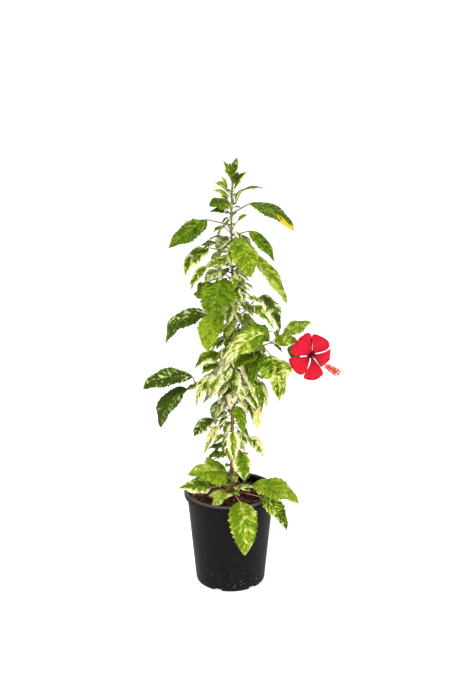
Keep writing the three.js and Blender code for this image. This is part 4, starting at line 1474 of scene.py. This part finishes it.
def notch_foot(pot, foot):
    """Cuts the drain notches out of the pot's foot, evenly round it."""
    reach = (foot + 1) * MM
    for k in range(NOTCH["count"]):
        turn = math.radians(NOTCH["first"] + k * 360 / NOTCH["count"])
        bpy.ops.mesh.primitive_cube_add(
            size=1,
            location=(math.cos(turn) * reach, math.sin(turn) * reach, 0),
            rotation=(0, 0, turn),
            scale=(NOTCH["depth"] * MM, NOTCH["width"] * MM, 2 * NOTCH["height"] * MM),
        )
        cutter = bpy.context.object
        rounding = cutter.modifiers.new("round", "BEVEL")
        rounding.width = NOTCH["edge"] * MM
        rounding.segments = 3
        cut = pot.modifiers.new("notch", "BOOLEAN")
        cut.operation = "DIFFERENCE"
        cut.solver = "EXACT"
        cut.object = cutter
        only(pot)
        bpy.ops.object.modifier_apply(modifier=cut.name)
        bpy.data.objects.remove(cutter)


def make_pot():
    """The pot, whose foot, body and rim are as wide as its CAD node's."""
    places, _ = solid_arrays("pot")
    reach = np.linalg.norm(places[:, :2], axis=1)
    mm = 1 / MM
    near, lip_overhang = 0.5, 3  # millimetres
    height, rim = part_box("pot")[1].z * mm, reach.max() * mm
    foot = reach[places[:, 2] < near * MM].max() * mm + POT["foot_out"]
    under_lip = reach[np.abs(places[:, 2] * mm - (height - POT["lip_depth"])) < near]
    body = under_lip[under_lip * mm < rim - lip_overhang].max() * mm
    rings = pot_rings(foot, body, rim, height)
    pot = raise_rings("nursery_pot", [(r * MM, z * MM) for r, z in rings])
    notch_foot(pot, foot)
    pot.data.materials.clear()
    pot.data.materials.append(pot_material())
    finish_piece(pot, ["pot"], smooth=40)


# ---- potting mix ----

MIX = {  # millimetres, a count, and a share
    "sides": 96,
    "ring": 2.5,
    "sunk": 2,
    "inset": 1,
    "depth": 22,
    "narrow": 0.95,
    "bed": 10,  # the chips lie on what is within this of its top
}
MIX_RELIEF = {"hollows": (16.0, 9.0), "crumbs": (4.0, 2.5)}  # grain and depth in millimetres
CHIPS = {  # lengths, thicknesses and lifts in millimetres, and the rest in shares
    "count": 1600,
    "within": 0.97,
    "long": (2.5, 8.5),
    "broad": (0.3, 0.6),
    "thick": (0.6, 1.6),
    "swell": 1.4,
    "torn": 0.35,
    "tilt": 0.45,
    "lean": 0.5,
    "lift": (-0.5, 2.2),
}
FIBRES = {
    "count": 300,
    "within": 0.92,
    "long": (5, 14),
    "bow": (0, 2.5),
    "radius": 0.35,
    "points": 6,
    "tilt": 0.25,
    "lift": (1, 3),
    "tones": (2, 3, 4),
}
CHIP_SKINS = {  # colour, and how many in every 17 chips have it
    "bark_black": ("#1a0f0a", 2),
    "bark_brown": ("#3a2014", 4),
    "bark_red": ("#5c3120", 5),
    "bark_rust": ("#7a4229", 4),
    "bark_tan": ("#97673f", 2),
}


def make_mix():
    """A disc inset ring by ring, lumped, and closed underneath."""
    low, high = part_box("soil")
    top = high.z - MIX["sunk"] * MM
    reach = (high.x - low.x) / 2 - MIX["inset"] * MM
    bed = begin_disc("potting_mix", MIX["sides"], reach, (0, 0, top))
    rings = int(reach / (MIX["ring"] * MM))
    for _ in range(rings - 1):
        bpy.ops.mesh.inset(thickness=reach / rings)
    bpy.ops.mesh.poke()
    bpy.ops.mesh.select_mode(type="EDGE")
    bpy.ops.mesh.select_all(action="DESELECT")
    bpy.ops.mesh.select_non_manifold(extend=False)
    bpy.ops.mesh.extrude_region_move(TRANSFORM_OT_translate={"value": (0, 0, -MIX["depth"] * MM)})
    bpy.ops.transform.resize(value=(MIX["narrow"], MIX["narrow"], 1), center_override=(0, 0, 0))
    bpy.ops.mesh.edge_face_add()
    end_solid()
    bed.data.materials.append(chip_material("coir_dust", "#26150e"))
    roughen(bed, MIX_RELIEF, levels=1)
    finish_piece(bed, ["soil"], smooth=60)
    places = np.array([vertex.co for vertex in bed.data.vertices])
    scatter_chips(places[places[:, 2] > top - MIX["bed"] * MM], reach)


def one_chip(rng):
    """A torn chip's eight corners, turned any way but mostly lying flat."""
    cube = np.array([(x, y, z) for z in (-1, 1) for y in (-1, 1) for x in (-1, 1)], float)
    long = rng.uniform(*CHIPS["long"]) * MM
    size = [long, long * rng.uniform(*CHIPS["broad"]), rng.uniform(*CHIPS["thick"]) * MM]
    half = np.array(size) / 2 * CHIPS["swell"]
    torn = np.array([rng.uniform(-1, 1) for _ in range(cube.size)]).reshape(cube.shape)
    corners = cube * half * (1 + CHIPS["torn"] * torn)
    way = unit(np.array([rng.gauss(0, 1), rng.gauss(0, 1), rng.gauss(0, CHIPS["tilt"])]))
    side = unit(np.cross(way, [rng.gauss(0, CHIPS["lean"]), rng.gauss(0, CHIPS["lean"]), 1.0]))
    return corners @ np.stack([way, side, np.cross(way, side)])


def scatter_chips(bed, reach):
    """Bark chips and coir fibres lying every way on the bed."""
    rng = random.Random(SEEDS["mix"])
    heap = Heap()

    def spot(within):
        away = reach * math.sqrt(rng.random()) * within
        turn = rng.random() * 2 * math.pi
        return away * math.cos(turn), away * math.sin(turn)

    def lie(x, y, lift):
        near = np.argmin((bed[:, 0] - x) ** 2 + (bed[:, 1] - y) ** 2)
        return np.array([x, y, bed[near, 2] + lift])

    sides = np.array([(0, 2, 3, 1), (4, 5, 7, 6), (0, 1, 5, 4), (2, 6, 7, 3), (0, 4, 6, 2), (1, 3, 7, 5)])
    shares = [share for _, share in CHIP_SKINS.values()]
    for _ in range(CHIPS["count"]):
        x, y = spot(CHIPS["within"])
        corners = one_chip(rng)
        centre = lie(x, y, rng.uniform(*CHIPS["lift"]) * MM)
        heap.add(corners + centre, sides, rng.choices(range(len(shares)), weights=shares)[0])
    for _ in range(FIBRES["count"]):
        x, y = spot(FIBRES["within"])
        start = lie(x, y, rng.uniform(*FIBRES["lift"]) * MM)
        way = unit(np.array([rng.gauss(0, 1), rng.gauss(0, 1), rng.gauss(0, FIBRES["tilt"])]))
        way = way * rng.uniform(*FIBRES["long"]) * MM
        bow = np.array([0, 0, rng.uniform(*FIBRES["bow"]) * MM])
        line = rounded(np.array([start, start + way / 2 + bow, start + way]), FIBRES["points"], rounds=2)
        fibre = tube(line, [FIBRES["radius"] * MM] * FIBRES["points"], sides=4)
        heap.add(*fibre, rng.choice(FIBRES["tones"]))
    skins = [chip_material(name, colour) for name, (colour, _) in CHIP_SKINS.items()]
    finish_piece(heap.piece("bark_chips", skins), [], smooth=30)


# ---- stage and light ----

FLOOR = {"half": 60, "colour": "#ffffff", "glow": 0.55}
SKY = {"colour": "#ffffff", "seen": 1.0, "light": 0.6}
LIGHTS = {  # place in metres, size and power
    "key": ((-1.1, -1.7, 2.9), 0.9, 50),
    "fill": ((1.6, -2.2, 1.0), 1.6, 26),
    "back": ((0.6, 2.0, 2.4), 1.4, 16),
}
AIM = Vector((0, 0, 0.5))  # where every light points


def make_floor():
    """A white floor that glows a little, so that it fades into the sky."""
    bpy.ops.object.select_all(action="DESELECT")
    bpy.ops.mesh.primitive_plane_add(size=2 * FLOOR["half"])
    floor = bpy.context.object
    floor.name = "floor"
    white = linear(FLOOR["colour"])
    glow = {"Emission_Color": white, "Emission_Strength": FLOOR["glow"]}
    floor.data.materials.append(start_material("studio_paper", Base_Color=white, Roughness=0.9, **glow)[0])


def make_sky():
    """An even white sky, which lights the shrub less than it shows."""
    world = bpy.data.worlds.new("studio")
    bpy.context.scene.world = world
    world.use_nodes = True
    tree = world.node_tree
    sky = tree.nodes["Background"]
    sky.inputs["Color"].default_value = linear(SKY["colour"])
    seen = add(tree, "ShaderNodeLightPath", out="Is Camera Ray")
    limits = {"To Min": SKY["light"], "To Max": SKY["seen"]}
    strength = add(tree, "ShaderNodeMapRange", limits, {"Value": seen}, "Result")
    tree.links.new(strength, sky.inputs["Strength"])


def make_lights():
    """Three soft lights, and the plain view that shows their colours as they are."""
    for name, (place, size, power) in LIGHTS.items():
        data = bpy.data.lights.new(name, "AREA")
        data.size = size
        data.energy = power
        light = bpy.data.objects.new(name, data)
        bpy.context.scene.collection.objects.link(light)
        light.location = place
        light.rotation_euler = (Vector(place) - AIM).to_track_quat("Z", "Y").to_euler()
    view = bpy.context.scene.view_settings
    view.view_transform = "Standard"
    view.look = "None"


make_camera()
make_floor()
make_sky()
make_lights()
limbs = read_limbs()
scars = make_foliage(limbs)
make_wood(limbs, scars)
make_bloom(limbs)
make_pot()
make_mix()
